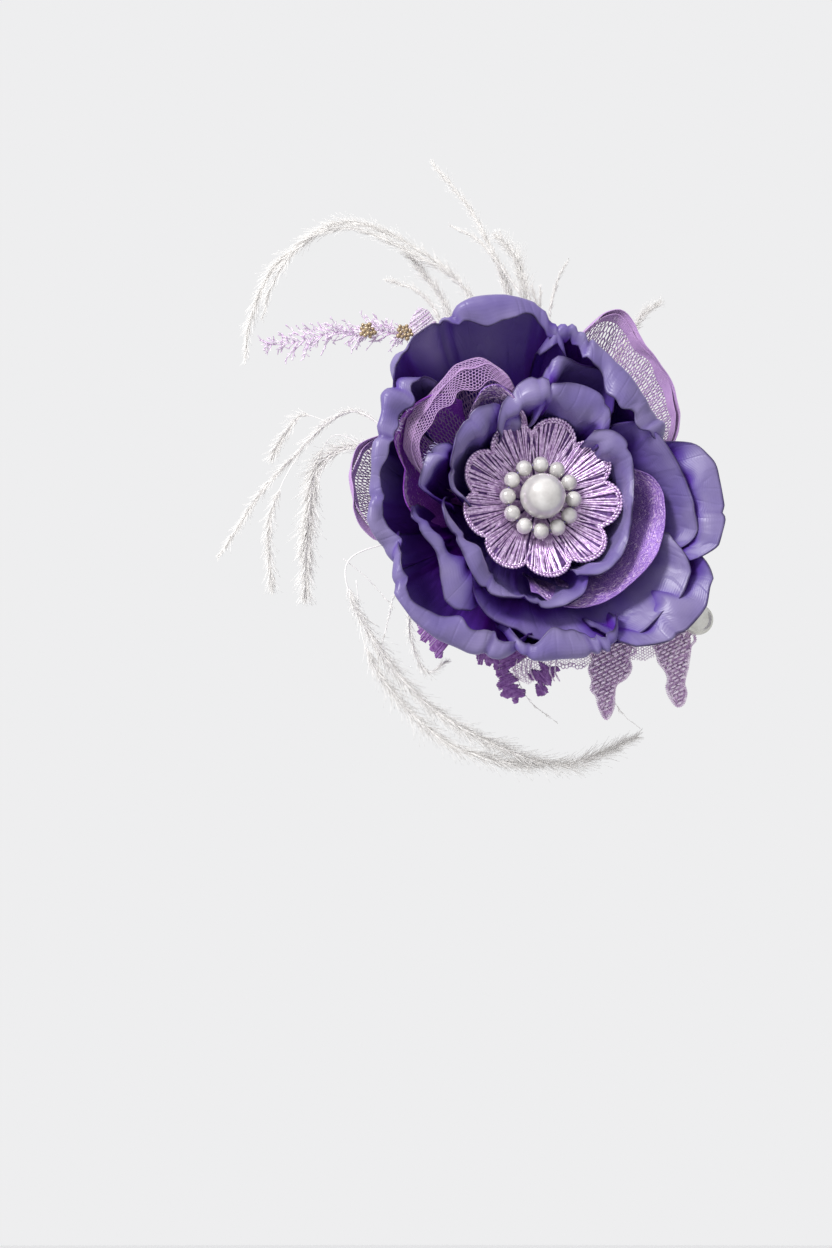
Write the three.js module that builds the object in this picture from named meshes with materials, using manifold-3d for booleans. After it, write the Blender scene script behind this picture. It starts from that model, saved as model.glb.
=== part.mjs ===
// Fascinator headpiece: a singed satin flower with net, lace, pearls and feather fronds,
// built up on a felt disc that a sprung clip holds to the hair.
//
// Each piece is drawn in the flower's own frame, in millimetres: x to the right, y up and z out of
// the flower towards a viewer. The rear face of the felt backing is z = 0. The last lines turn the
// flower upright, so that in the exported group +Z is up and the flower faces -Y.
import * as THREE from "three";
import { mergeVertices } from "three/addons/utils/BufferGeometryUtils.js";
import Module from "manifold-3d";

const wasm = await Module();
wasm.setup();

// ---- Driving dimensions ----
const GAP = 0.3;

const BACKING = { radius: 25, thickness: 1.2 };
const SLOT = { centreX: 12.25, halfLength: 4.8, halfWidth: 6.2 };
const CLIP = { width: 9, tipX: -18, heelX: 30, sheet: 0.7, earHalfWidth: 3, innerEarHalfWidth: 2.4 };
const PIVOT = { x: 12, z: -2.6, pinRadius: 0.8, holeRadius: 1.1, headRadius: 1.3 };
const SPRING = { wireRadius: 0.3, coilRadius: 1.5, turns: 3.5, halfLength: 1.4 };
const FELT = { radius: 26, thickness: 2 };

const FIXED_JAW_Z = BACKING.thickness + GAP;
const FELT_Z = FIXED_JAW_Z + CLIP.sheet + GAP;
const FELT_FRONT_Z = FELT_Z + FELT.thickness;
const PETAL_FOOT_Z = FELT_FRONT_Z + 0.4;

// Rim radii are given every 30 degrees, anticlockwise from +x.
const RINGS = {
  inner: {
    foot: 9.5,
    top: 24.5,
    rim: [22.6, 22.9, 23.0, 23.2, 24.0, 26.0, 24.5, 24.2, 24.5, 24.3, 23.4, 22.8],
  },
  innerNet: {
    foot: 12.3,
    top: 23.5,
    rim: [27.2, 26.5, 27.0, 28.0, 31.5, 31.8, 30.5, 27.5, 27.0, 27.0, 27.3, 28.5],
  },
  middle: {
    foot: 13.7,
    top: 23.5,
    rim: [33.0, 29.8, 31.3, 29.8, 32.5, 34.2, 34.6, 32.0, 31.0, 30.0, 32.3, 35.8],
  },
  outer: {
    foot: 16.5,
    top: 26,
    rim: [38.5, 34.0, 33.8, 41.3, 42.0, 40.8, 38.8, 37.8, 38.2, 35.8, 38.0, 40.8],
  },
  outerNet: {
    foot: 19.3,
    top: 16,
    rim: [36.0, 38.5, 44.5, 42.0, 42.0, 39.0, 41.2, 38.5, 38.0, 38.0, 38.0, 38.0],
  },
};
const LAYER_STEP = 1.4;
const PETAL_WIDTH = 0.7;
const PETAL_STEP_DEG = 10;
const PETAL_ROWS = 4;

// A petal lies in a ring, on one of the ring's two layers, from one angle to another in degrees.
const SATIN_PETALS = [
  { name: "satin_outer_left", ring: "outer", layer: 1, from: 142, to: 200 },
  { name: "satin_outer_top", ring: "outer", layer: 0, from: 82, to: 152 },
  { name: "satin_outer_upper_right", ring: "outer", layer: 1, from: 24, to: 92 },
  { name: "satin_outer_right", ring: "outer", layer: 0, from: -24, to: 31 },
  { name: "satin_outer_lower_right", ring: "outer", layer: 1, from: -68, to: -16 },
  { name: "satin_outer_bottom", ring: "outer", layer: 0, from: -106, to: -58 },
  { name: "satin_outer_lower_left", ring: "outer", layer: 1, from: 205, to: 264 },
  { name: "satin_middle_right", ring: "middle", layer: 1, from: -20, to: 47 },
  { name: "satin_middle_bottom", ring: "middle", layer: 0, from: -136, to: -16 },
  { name: "satin_middle_left", ring: "middle", layer: 1, from: 184, to: 236 },
  { name: "satin_middle_upper_left", ring: "middle", layer: 0, from: 152, to: 188 },
  { name: "satin_middle_top", ring: "middle", layer: 0, from: 50, to: 98 },
  { name: "satin_inner_top", ring: "inner", layer: 1, from: 44, to: 128 },
  { name: "satin_inner_left", ring: "inner", layer: 0, from: 112, to: 190 },
  { name: "satin_inner_bottom", ring: "inner", layer: 1, from: 180, to: 300 },
  { name: "satin_inner_right", ring: "inner", layer: 0, from: -66, to: 54 },
];
const NET_PETALS = [
  { name: "net_inner_upper_left", ring: "innerNet", layer: 0, from: 106, to: 172 },
  { name: "net_inner_lower_right", ring: "innerNet", layer: 0, from: -92, to: 22 },
  { name: "net_outer_upper_right", ring: "outerNet", layer: 0, from: 24, to: 80 },
  { name: "net_outer_left", ring: "outerNet", layer: 0, from: 156, to: 204 },
];

const CORE = { radius: 8.4, top: 14.1 };
const THREAD_FLOWER = { lobes: 9, radius: 18.2, notch: 1.6, hole: 0.8, low: 15.5, cup: 5, thickness: 1 };
const CENTRE_PEARL = { radius: 5, z: 20.9 };
const RING_PEARLS = { count: 12, radius: 1.8, bore: 0.55, ringRadius: 7.4, z: 19 };
const STRING_RADIUS = 0.15;

// Lace pieces run outwards from the felt: angle in degrees, then distances in millimetres.
const LACE_FOOT = 20.6;
const LACE_THICKNESS = 0.6;
const LACE_PIECES = [
  { name: "lace_leaf_bottom", angle: -69.5, tip: 49, width: 10, shape: "leaf" },
  { name: "lace_leaf_right", angle: -50.5, tip: 54, width: 9.5, shape: "leaf" },
  { name: "lace_cluster_bottom", angle: -96, tip: 43.5, width: 17, shape: "cluster" },
  { name: "lace_fragment_left", angle: -126, tip: 40.5, width: 9, shape: "cluster" },
];
const SPRAY = {
  z: 6.2,
  width: 6.5,
  line: [[-13, 22], [-19, 32.5], [-28.2, 38], [-36.6, 38.4], [-47, 36.5], [-56, 32.5]],
};
const BEAD_CLUSTERS = [
  { name: "bead_cluster_inner", x: -28.2, y: 38.3 },
  { name: "bead_cluster_outer", x: -36.6, y: 38.2 },
];
const BEAD_CLUSTER_RADIUS = 1.9;
const SIDE_BEAD = { x: 38.6, y: -23.6, z: 8, radius: 3.4, rootX: 20.5, rootY: -12.5 };

// Feather fronds: a hand-laid line of points from the felt to the tip, and the quill's root radius.
const FEATHERS = [
  {
    name: "feather_arch",
    quill: 0.5,
    points: [[-6, 24, 6], [-11, 46, 6], [-24, 58, 6], [-41, 63.5, 6], [-56, 53.5, 6], [-62, 41, 6], [-63.5, 31, 6]],
  },
  {
    name: "feather_tall",
    quill: 0.5,
    points: [[-2.5, 24, 6.4], [-3.5, 48, 7], [-8.5, 60, 7], [-13, 69, 6], [-21, 79, 5]],
  },
  {
    name: "feather_top_short",
    quill: 0.45,
    points: [[1.5, 24, 6.2], [-0.5, 44, 9.5], [-4.5, 52, 9.5], [-11, 60, 9], [-17.5, 63.5, 8.5]],
  },
  {
    name: "feather_upper_left",
    quill: 0.45,
    points: [[-11.5, 23, 5.8], [-19, 43, 3.5], [-24, 49.5, 3], [-31, 52, 2.5]],
  },
  {
    name: "feather_top_right",
    quill: 0.4,
    points: [[4, 24, 6], [5.5, 44, 6], [7.5, 53, 6], [10, 58, 6]],
  },
  {
    name: "feather_right",
    quill: 0.4,
    points: [[13.5, 21, 5.6], [21.5, 36, 5.4], [27, 45.5, 5.4], [32, 50, 5]],
  },
  {
    name: "feather_lower_left",
    quill: 0.5,
    points: [[-23, 8, 5.8], [-36, 20, 5], [-44, 18.5, 4.5], [-52, 10, 4], [-59, 2, 3], [-68, -12.5, 1]],
  },
  {
    name: "feather_left",
    quill: 0.45,
    points: [[-24, 4, 5.8], [-37, 13, 3], [-45, 10, 2], [-47.5, 4, 1], [-49, -12, 0]],
  },
  {
    name: "feather_bottom",
    quill: 0.5,
    points: [
      [-23.5, -6.5, 5.6], [-40, -13, 5], [-36, -27, 4], [-24, -42, 3], [-8, -51.5, 2], [9, -56, 2], [26, -49.5, 2],
    ],
  },
];

// ---- Materials ----
function surface(color, roughness, metalness = 0) {
  return new THREE.MeshStandardMaterial({ color, roughness, metalness });
}
const MATERIALS = {
  satin: surface("#7f6fb8", 0.4),
  net: surface("#b49ccb", 0.7),
  thread: surface("#9a7cac", 0.45),
  lace: surface("#a98fb4", 0.6),
  pearl: surface("#f1f2ef", 0.2),
  bead: surface("#9a8466", 0.35),
  feather: surface("#dcd9d6", 0.85),
  felt: surface("#6f62a0", 0.95),
  steel: surface("#b9bcc2", 0.3, 1),
};

// ---- Shared geometry ----
const radians = THREE.MathUtils.degToRad;

function signedVolume(positions, index) {
  const a = new THREE.Vector3();
  const b = new THREE.Vector3();
  const c = new THREE.Vector3();
  let volume = 0;
  for (let i = 0; i < index.length; i += 3) {
    a.fromArray(positions, index[i] * 3);
    b.fromArray(positions, index[i + 1] * 3);
    c.fromArray(positions, index[i + 2] * 3);
    volume += a.dot(b.cross(c));
  }
  return volume;
}

// A closed body through a row of sections, each a loop of the same even number of points. The last
// section joins the first where closed is true. Otherwise each end is capped by pairing point i with
// point n - 1 - i.
function sectionBody(sections, closed = false) {
  const size = sections[0].length;
  const positions = sections.flat().flatMap((p) => [p.x, p.y, p.z]);
  const index = [];
  const quad = (a, b, c, d) => index.push(a, b, c, a, c, d);
  const spans = closed ? sections.length : sections.length - 1;
  for (let s = 0; s < spans; s++) {
    const here = s * size;
    const next = ((s + 1) % sections.length) * size;
    for (let i = 0; i < size; i++) {
      const j = (i + 1) % size;
      quad(here + i, here + j, next + j, next + i);
    }
  }
  if (!closed) {
    const last = (sections.length - 1) * size;
    for (let i = 0; i < size / 2 - 1; i++) {
      quad(i, size - 1 - i, size - 2 - i, i + 1);
      quad(last + i, last + i + 1, last + size - 2 - i, last + size - 1 - i);
    }
  }
  if (signedVolume(positions, index) < 0) index.reverse();
  const geometry = new THREE.BufferGeometry();
  geometry.setAttribute("position", new THREE.Float32BufferAttribute(positions, 3));
  geometry.setIndex(index);
  return geometry;
}

// A round tube along a smooth line of points, with a radius that goes from one value to another.
function tube(points, startRadius, endRadius, steps, sides) {
  const curve = new THREE.CatmullRomCurve3(points);
  const frames = curve.computeFrenetFrames(steps);
  const sections = [];
  for (let s = 0; s <= steps; s++) {
    const centre = curve.getPointAt(s / steps);
    const radius = THREE.MathUtils.lerp(startRadius, endRadius, s / steps);
    const section = [];
    for (let k = 0; k < sides; k++) {
      const angle = (2 * Math.PI * (k + 0.5)) / sides;
      const point = centre.clone();
      point.addScaledVector(frames.normals[s], radius * Math.cos(angle));
      point.addScaledVector(frames.binormals[s], radius * Math.sin(angle));
      section.push(point);
    }
    sections.push(section);
  }
  return sectionBody(sections);
}

function polar(radius, degrees, z) {
  const angle = radians(degrees);
  return new THREE.Vector3(radius * Math.cos(angle), radius * Math.sin(angle), z);
}

// ---- Joining and cutting ----
function toSolid(geometry) {
  const bare = geometry.clone();
  bare.deleteAttribute("normal");
  bare.deleteAttribute("uv");
  const merged = mergeVertices(bare, 1e-4);
  const vertProperties = new Float32Array(merged.attributes.position.array);
  const triVerts = new Uint32Array(merged.index.array);
  return new wasm.Manifold(new wasm.Mesh({ numProp: 3, vertProperties, triVerts }));
}

function toGeometry(solid) {
  const mesh = solid.getMesh();
  const geometry = new THREE.BufferGeometry();
  geometry.setAttribute("position", new THREE.Float32BufferAttribute(mesh.vertProperties, 3));
  geometry.setIndex(Array.from(mesh.triVerts));
  return geometry;
}

function join(geometries) {
  return geometries.map(toSolid).reduce((whole, next) => whole.add(next));
}

// A box between two corners.
function boxBetween(low, high) {
  const size = high.map((value, axis) => value - low[axis]);
  const box = new THREE.BoxGeometry(...size);
  return box.translate(...high.map((value, axis) => (value + low[axis]) / 2));
}

// A cylinder along y, centred on the clip's pivot.
function pivotCylinder(radius, halfLength, segments = 24) {
  const cylinder = new THREE.CylinderGeometry(radius, radius, 2 * halfLength, segments);
  return cylinder.translate(PIVOT.x, 0, PIVOT.z);
}

// ---- Felt ----
function feltBase() {
  const profile = [
    new THREE.Vector2(0, FELT_Z),
    new THREE.Vector2(FELT.radius, FELT_Z),
    new THREE.Vector2(FELT.radius, FELT_FRONT_Z),
    new THREE.Vector2(0, FELT_FRONT_Z),
  ];
  return new THREE.LatheGeometry(profile, 48).rotateX(Math.PI / 2);
}

// Distance from the slot's centre to its rounded-rectangle edge, along a direction.
function slotReach(degrees) {
  const angle = radians(degrees);
  const along = Math.abs(Math.cos(angle) / SLOT.halfLength) ** 4;
  const across = Math.abs(Math.sin(angle) / SLOT.halfWidth) ** 4;
  return (along + across) ** -0.25;
}

// Distance from the slot's centre to the backing's round edge, along a direction.
function backingReach(degrees) {
  const along = SLOT.centreX * Math.cos(radians(degrees));
  const across = SLOT.centreX * Math.sin(radians(degrees));
  return Math.sqrt(BACKING.radius ** 2 - across ** 2) - along;
}

function feltBacking() {
  const sections = [];
  for (let degrees = 0; degrees < 360; degrees += 7.5) {
    const inside = slotReach(degrees);
    const outside = backingReach(degrees);
    const reaches = [inside, (inside + outside) / 2, outside];
    const at = (reach, z) => polar(reach, degrees, z).add(new THREE.Vector3(SLOT.centreX, 0, 0));
    const rear = reaches.map((reach) => at(reach, 0));
    const front = reaches.map((reach) => at(reach, BACKING.thickness)).reverse();
    sections.push([...rear, ...front]);
  }
  return sectionBody(sections, true);
}

// ---- Hair clip ----
// An ear that stands on a plate at plateZ and rounds off about the pivot.
function ear(centreY, halfWidth, plateZ) {
  const nearY = centreY - CLIP.sheet / 2;
  const farY = centreY + CLIP.sheet / 2;
  const low = Math.min(plateZ, PIVOT.z);
  const high = Math.max(plateZ, PIVOT.z);
  const plate = boxBetween([PIVOT.x - halfWidth, nearY, low], [PIVOT.x + halfWidth, farY, high]);
  const round = new THREE.CylinderGeometry(halfWidth, halfWidth, CLIP.sheet, 24);
  return [plate, round.translate(PIVOT.x, centreY, PIVOT.z)];
}

function fixedJaw() {
  const half = CLIP.width / 2;
  const plate = boxBetween([CLIP.tipX, -half, FIXED_JAW_Z], [CLIP.heelX, half, FIXED_JAW_Z + CLIP.sheet]);
  const earY = half - CLIP.sheet / 2;
  const ears = [-earY, earY].flatMap((y) => ear(y, CLIP.earHalfWidth, FIXED_JAW_Z + CLIP.sheet / 2));
  const body = join([plate, ...ears]);
  return toGeometry(body.subtract(toSolid(pivotCylinder(PIVOT.holeRadius, CLIP.width))));
}

// A strip of sheet metal whose top follows a line of [x, z] points, of one width across y.
function strip(line, width) {
  const top = line.map(([x, z]) => new THREE.Vector2(x, z));
  const bottom = line.map(([x, z]) => new THREE.Vector2(x, z - CLIP.sheet)).reverse();
  const shape = new THREE.Shape([...top, ...bottom]);
  const body = new THREE.ExtrudeGeometry(shape, { depth: width, bevelEnabled: false });
  return body.translate(0, 0, -width / 2).rotateX(Math.PI / 2);
}

const JAW_TOP = { pivotZ: -4.8, tipZ: -1, heelZ: -10.3, bridgeStart: 7, bridgeEnd: 17 };

function jawTopZ(x) {
  const along = (JAW_TOP.bridgeStart - x) / (JAW_TOP.bridgeStart - CLIP.tipX);
  return THREE.MathUtils.lerp(JAW_TOP.pivotZ, JAW_TOP.tipZ, Math.max(along, 0));
}

function tooth(x) {
  const shape = new THREE.Shape([
    new THREE.Vector2(x - 0.7, jawTopZ(x) - 0.3),
    new THREE.Vector2(x + 0.7, jawTopZ(x) - 0.3),
    new THREE.Vector2(x, jawTopZ(x) + 0.6),
  ]);
  const body = new THREE.ExtrudeGeometry(shape, { depth: CLIP.width - 2, bevelEnabled: false });
  return body.translate(0, 0, 1 - CLIP.width / 2).rotateX(Math.PI / 2);
}

function movingJaw() {
  const innerHalf = CLIP.width / 2 - CLIP.sheet - 0.4;
  const overlap = 0.6;
  const grip = strip([[CLIP.tipX, JAW_TOP.tipZ], [JAW_TOP.bridgeStart, JAW_TOP.pivotZ]], CLIP.width);
  const bridge = strip(
    [[JAW_TOP.bridgeStart - overlap, JAW_TOP.pivotZ], [JAW_TOP.bridgeEnd + overlap, JAW_TOP.pivotZ]],
    2 * innerHalf,
  );
  const lever = strip([[JAW_TOP.bridgeEnd, JAW_TOP.pivotZ], [CLIP.heelX, JAW_TOP.heelZ]], CLIP.width);
  const teeth = [-17, -14.5, -12].map(tooth);
  const earY = innerHalf - CLIP.sheet / 2;
  const earFootZ = JAW_TOP.pivotZ - CLIP.sheet / 2;
  const ears = [-earY, earY].flatMap((y) => ear(y, CLIP.innerEarHalfWidth, earFootZ));
  const body = join([grip, bridge, lever, ...teeth, ...ears]);
  return toGeometry(body.subtract(toSolid(pivotCylinder(PIVOT.holeRadius, CLIP.width))));
}

function pivotPin() {
  const inside = CLIP.width / 2 + GAP;
  const outside = inside + 0.6;
  const profile = [
    [0, -outside], [PIVOT.headRadius, -outside], [PIVOT.headRadius, -inside], [PIVOT.pinRadius, -inside],
    [PIVOT.pinRadius, inside], [PIVOT.headRadius, inside], [PIVOT.headRadius, outside], [0, outside],
  ];
  const pin = new THREE.LatheGeometry(profile.map(([r, y]) => new THREE.Vector2(r, y)), 20);
  return pin.translate(PIVOT.x, 0, PIVOT.z);
}

function torsionSpring() {
  const coil = [];
  const steps = SPRING.turns * 12;
  for (let s = 0; s <= steps; s++) {
    const angle = Math.PI / 2 - (2 * Math.PI * SPRING.turns * s) / steps;
    coil.push(
      new THREE.Vector3(
        PIVOT.x + SPRING.coilRadius * Math.cos(angle),
        THREE.MathUtils.lerp(-SPRING.halfLength, SPRING.halfLength, s / steps),
        PIVOT.z + SPRING.coilRadius * Math.sin(angle),
      ),
    );
  }
  const upperLeg = [new THREE.Vector3(8.5, -SPRING.halfLength, 0.7), new THREE.Vector3(10.2, -SPRING.halfLength, -0.6)];
  const lowerLeg = [new THREE.Vector3(8.5, SPRING.halfLength, -4.1), new THREE.Vector3(3.5, SPRING.halfLength, -3.5)];
  const line = [...upperLeg, ...coil, ...lowerLeg];
  return tube(line, SPRING.wireRadius, SPRING.wireRadius, 60, 6);
}

// ---- Petals ----
function rimRadius(ring, degrees) {
  const turn = (((degrees % 360) + 360) % 360) / 30;
  const before = Math.floor(turn) % 12;
  return THREE.MathUtils.lerp(ring.rim[before], ring.rim[(before + 1) % 12], turn - Math.floor(turn));
}

// The petal's inner face at a height, as a distance from the flower's axis.
function petalReach(petal, degrees, height) {
  const ring = RINGS[petal.ring];
  const shift = petal.layer * LAYER_STEP;
  const rise = ((height - PETAL_FOOT_Z) / (ring.top - PETAL_FOOT_Z)) ** 0.9;
  return THREE.MathUtils.lerp(ring.foot, rimRadius(ring, degrees), rise) + shift;
}

function petalBody(petal) {
  const columns = Math.ceil((petal.to - petal.from) / PETAL_STEP_DEG);
  const sections = [];
  for (let c = 0; c <= columns; c++) {
    const degrees = THREE.MathUtils.lerp(petal.from, petal.to, c / columns);
    const fromMiddle = Math.abs((2 * c) / columns - 1);
    const top = THREE.MathUtils.lerp(RINGS[petal.ring].top, PETAL_FOOT_Z, 0.3 * fromMiddle ** 4);
    const inside = [];
    const outside = [];
    for (let row = 0; row <= PETAL_ROWS; row++) {
      const z = THREE.MathUtils.lerp(PETAL_FOOT_Z, top, row / PETAL_ROWS);
      const reach = petalReach(petal, degrees, z);
      inside.push(polar(reach, degrees, z));
      outside.push(polar(reach + PETAL_WIDTH, degrees, z));
    }
    sections.push([...inside, ...outside.reverse()]);
  }
  return sectionBody(sections);
}

// ---- Middle of the flower ----
function satinCore() {
  const profile = [[0, PETAL_FOOT_Z]];
  for (let s = 0; s <= 5; s++) {
    const angle = (Math.PI / 2) * (s / 5);
    const height = CORE.top - PETAL_FOOT_Z - 3;
    profile.push([CORE.radius * Math.cos(angle) ** 0.5, PETAL_FOOT_Z + height + 3 * Math.sin(angle)]);
  }
  profile.splice(1, 0, [CORE.radius, PETAL_FOOT_Z]);
  profile[profile.length - 1][0] = 0;
  const points = profile.map(([r, z]) => new THREE.Vector2(r, z));
  return new THREE.LatheGeometry(points, 24).rotateX(Math.PI / 2);
}

function threadFlowerZ(reach) {
  return THREAD_FLOWER.low + THREAD_FLOWER.cup * (reach / THREAD_FLOWER.radius) ** 2;
}

function threadFlower() {
  const perLobe = 6;
  const count = THREAD_FLOWER.lobes * perLobe;
  const sections = [];
  for (let c = 0; c < count; c++) {
    const degrees = (360 * c) / count;
    const lobe = Math.abs(Math.sin((Math.PI * c) / perLobe)) ** 0.6;
    const edge = THREAD_FLOWER.radius - THREAD_FLOWER.notch * (1 - lobe);
    const reaches = [THREAD_FLOWER.hole, edge * 0.35, edge * 0.7, edge];
    const front = reaches.map((reach) => polar(reach, degrees, threadFlowerZ(reach)));
    const back = reaches.map((reach) => polar(reach, degrees, threadFlowerZ(reach) - THREAD_FLOWER.thickness));
    sections.push([...back, ...front.reverse()]);
  }
  return sectionBody(sections, true);
}

function centrePearl() {
  return new THREE.SphereGeometry(CENTRE_PEARL.radius, 16, 10).translate(0, 0, CENTRE_PEARL.z);
}

// A bead with a bore for the thread, drawn round the y axis.
function boredPearl() {
  const { radius, bore } = RING_PEARLS;
  const mouth = Math.acos(bore / radius);
  const profile = [];
  for (let s = 0; s <= 6; s++) {
    const angle = THREE.MathUtils.lerp(-mouth, mouth, s / 6);
    profile.push(new THREE.Vector2(radius * Math.cos(angle), radius * Math.sin(angle)));
  }
  profile.push(profile[0].clone());
  return new THREE.LatheGeometry(profile, 10);
}

function pearlString() {
  const string = new THREE.TorusGeometry(RING_PEARLS.ringRadius, STRING_RADIUS, 4, 48);
  return string.translate(0, 0, RING_PEARLS.z);
}

// ---- Lace, beads and fronds ----
const LACE_WIDTHS = {
  leaf: [0.35, 0.4, 0.45, 0.6, 0.9, 1, 0.8, 0.45, 0.12],
  cluster: [0.3, 0.32, 0.36, 0.5, 0.85, 1, 0.9, 0.95, 0.5],
};

// A flat lace piece along a direction, a little hollow across its width.
function lacePiece(piece) {
  const widths = LACE_WIDTHS[piece.shape];
  const sections = widths.map((share, row) => {
    const reach = THREE.MathUtils.lerp(LACE_FOOT, piece.tip, row / (widths.length - 1));
    const half = (share * piece.width) / 2;
    const z = FELT_FRONT_Z + GAP + Math.max(0, reach - FELT.radius) * 0.03;
    const across = [-half, 0, half];
    const low = across.map((y) => new THREE.Vector3(reach, y, z));
    const high = across.map((y) => new THREE.Vector3(reach, y, z + LACE_THICKNESS));
    return [...low, ...high.reverse()];
  });
  return sectionBody(sections).rotateZ(radians(piece.angle));
}

function laceSpray() {
  const curve = new THREE.CatmullRomCurve3(SPRAY.line.map(([x, y]) => new THREE.Vector3(x, y, SPRAY.z)));
  const steps = 12;
  const sections = [];
  for (let s = 0; s <= steps; s++) {
    const centre = curve.getPoint(s / steps);
    const along = curve.getTangent(s / steps);
    const side = new THREE.Vector3(-along.y, along.x, 0).normalize();
    const half = (SPRAY.width / 2) * Math.max(0.15, Math.sin(Math.PI * Math.min(1, s / steps + 0.08)));
    const lift = new THREE.Vector3(0, 0, LACE_THICKNESS);
    const left = centre.clone().addScaledVector(side, half);
    const right = centre.clone().addScaledVector(side, -half);
    sections.push([left, right, right.clone().add(lift), left.clone().add(lift)]);
  }
  return sectionBody(sections);
}

function beadCluster(cluster) {
  const z = SPRAY.z + LACE_THICKNESS + GAP + 0.75 * BEAD_CLUSTER_RADIUS;
  const beads = new THREE.SphereGeometry(BEAD_CLUSTER_RADIUS, 10, 6).scale(1, 1, 0.75);
  return beads.translate(cluster.x, cluster.y, z);
}

function sideBead() {
  const bead = new THREE.SphereGeometry(SIDE_BEAD.radius, 16, 10).scale(1, 1, 0.55);
  bead.translate(SIDE_BEAD.x, SIDE_BEAD.y, SIDE_BEAD.z);
  const stem = tube(
    [
      new THREE.Vector3(SIDE_BEAD.rootX, SIDE_BEAD.rootY, 6),
      new THREE.Vector3(28, -17, 6.4),
      new THREE.Vector3(SIDE_BEAD.x - 1, SIDE_BEAD.y + 0.6, SIDE_BEAD.z),
    ],
    0.4, 0.4, 8, 6,
  );
  return toGeometry(join([bead, stem]));
}

function feather(frond) {
  const points = frond.points.map((p) => new THREE.Vector3(...p));
  return tube(points, frond.quill, 0.15, 6 * (points.length - 1), 4);
}

// ---- Assembly ----
const flower = new THREE.Group();

function addPiece(name, geometry, material) {
  const mesh = new THREE.Mesh(geometry, material);
  mesh.name = name;
  flower.add(mesh);
  return mesh;
}

addPiece("felt_backing", feltBacking(), MATERIALS.felt);
addPiece("clip_fixed_jaw", fixedJaw(), MATERIALS.steel);
addPiece("clip_moving_jaw", movingJaw(), MATERIALS.steel);
addPiece("clip_pivot_pin", pivotPin(), MATERIALS.steel);
addPiece("clip_spring", torsionSpring(), MATERIALS.steel);
addPiece("felt_base", feltBase(), MATERIALS.felt);
for (const petal of SATIN_PETALS) {
  addPiece(petal.name, petalBody(petal), MATERIALS.satin);
}
for (const petal of NET_PETALS) {
  addPiece(petal.name, petalBody(petal), MATERIALS.net);
}
addPiece("satin_core", satinCore(), MATERIALS.satin);
addPiece("thread_flower", threadFlower(), MATERIALS.thread);
addPiece("centre_pearl", centrePearl(), MATERIALS.pearl);
addPiece("pearl_string", pearlString(), MATERIALS.feather);
for (let i = 0; i < RING_PEARLS.count; i++) {
  const angle = (2 * Math.PI * i) / RING_PEARLS.count;
  const pearl = addPiece(`ring_pearl_${String(i + 1).padStart(2, "0")}`, boredPearl(), MATERIALS.pearl);
  pearl.position.set(RING_PEARLS.ringRadius * Math.cos(angle), RING_PEARLS.ringRadius * Math.sin(angle), RING_PEARLS.z);
  pearl.rotation.z = angle;
}
for (const piece of LACE_PIECES) {
  addPiece(piece.name, lacePiece(piece), MATERIALS.lace);
}
addPiece("lace_spray", laceSpray(), MATERIALS.lace);
for (const cluster of BEAD_CLUSTERS) {
  addPiece(cluster.name, beadCluster(cluster), MATERIALS.bead);
}
addPiece("side_bead", sideBead(), MATERIALS.pearl);
for (const frond of FEATHERS) {
  addPiece(frond.name, feather(frond), MATERIALS.feather);
}

flower.rotation.x = Math.PI / 2;

const fascinator = new THREE.Group();
fascinator.add(flower);

export default fascinator;
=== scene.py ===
"""Looks of a fascinator: a singed satin flower with lace, feathers and a clip, round its CAD frame.

Shapes are worked out in the flower's own frame, in millimetres: x to the right, y up and z out of the
flower towards a viewer. to_row() turns them into the row frame, in metres, where the flower faces -Y.
"""
import math

import bmesh
import bpy
import numpy as np
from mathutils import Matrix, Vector
from mathutils.bvhtree import BVHTree


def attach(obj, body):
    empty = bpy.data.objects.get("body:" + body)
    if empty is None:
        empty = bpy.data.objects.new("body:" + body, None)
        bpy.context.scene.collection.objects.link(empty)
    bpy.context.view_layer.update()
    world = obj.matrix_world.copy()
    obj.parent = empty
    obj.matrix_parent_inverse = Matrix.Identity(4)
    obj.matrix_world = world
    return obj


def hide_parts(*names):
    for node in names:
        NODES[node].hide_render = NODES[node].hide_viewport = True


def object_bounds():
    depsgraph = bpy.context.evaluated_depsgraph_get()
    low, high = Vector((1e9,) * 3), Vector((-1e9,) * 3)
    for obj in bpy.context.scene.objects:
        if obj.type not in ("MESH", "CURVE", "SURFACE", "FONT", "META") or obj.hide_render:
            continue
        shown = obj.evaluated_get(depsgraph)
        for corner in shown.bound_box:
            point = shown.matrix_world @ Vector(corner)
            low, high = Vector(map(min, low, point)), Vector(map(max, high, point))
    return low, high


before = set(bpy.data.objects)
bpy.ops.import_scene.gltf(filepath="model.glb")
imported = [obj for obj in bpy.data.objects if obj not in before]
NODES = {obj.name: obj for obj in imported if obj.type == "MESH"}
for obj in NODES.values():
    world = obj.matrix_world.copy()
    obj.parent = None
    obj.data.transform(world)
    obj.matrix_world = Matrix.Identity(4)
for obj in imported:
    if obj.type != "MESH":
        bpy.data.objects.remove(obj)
CAD_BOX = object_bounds()
MM = 0.001


# ---------------------------------------------------------------- frames and helpers
def to_row(points):
    """Flower frame in millimetres to the row frame in metres."""
    p = np.asarray(points, float)
    return np.stack([p[..., 0], -p[..., 2], p[..., 1]], axis=-1) * MM


def cad_points(node):
    """A CAD node's vertices in the flower frame, in millimetres."""
    mesh = NODES[node].data
    co = np.zeros(len(mesh.vertices) * 3)
    mesh.vertices.foreach_get("co", co)
    co = co.reshape(-1, 3)
    return np.stack([co[:, 0], co[:, 2], -co[:, 1]], axis=1) / MM


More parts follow.
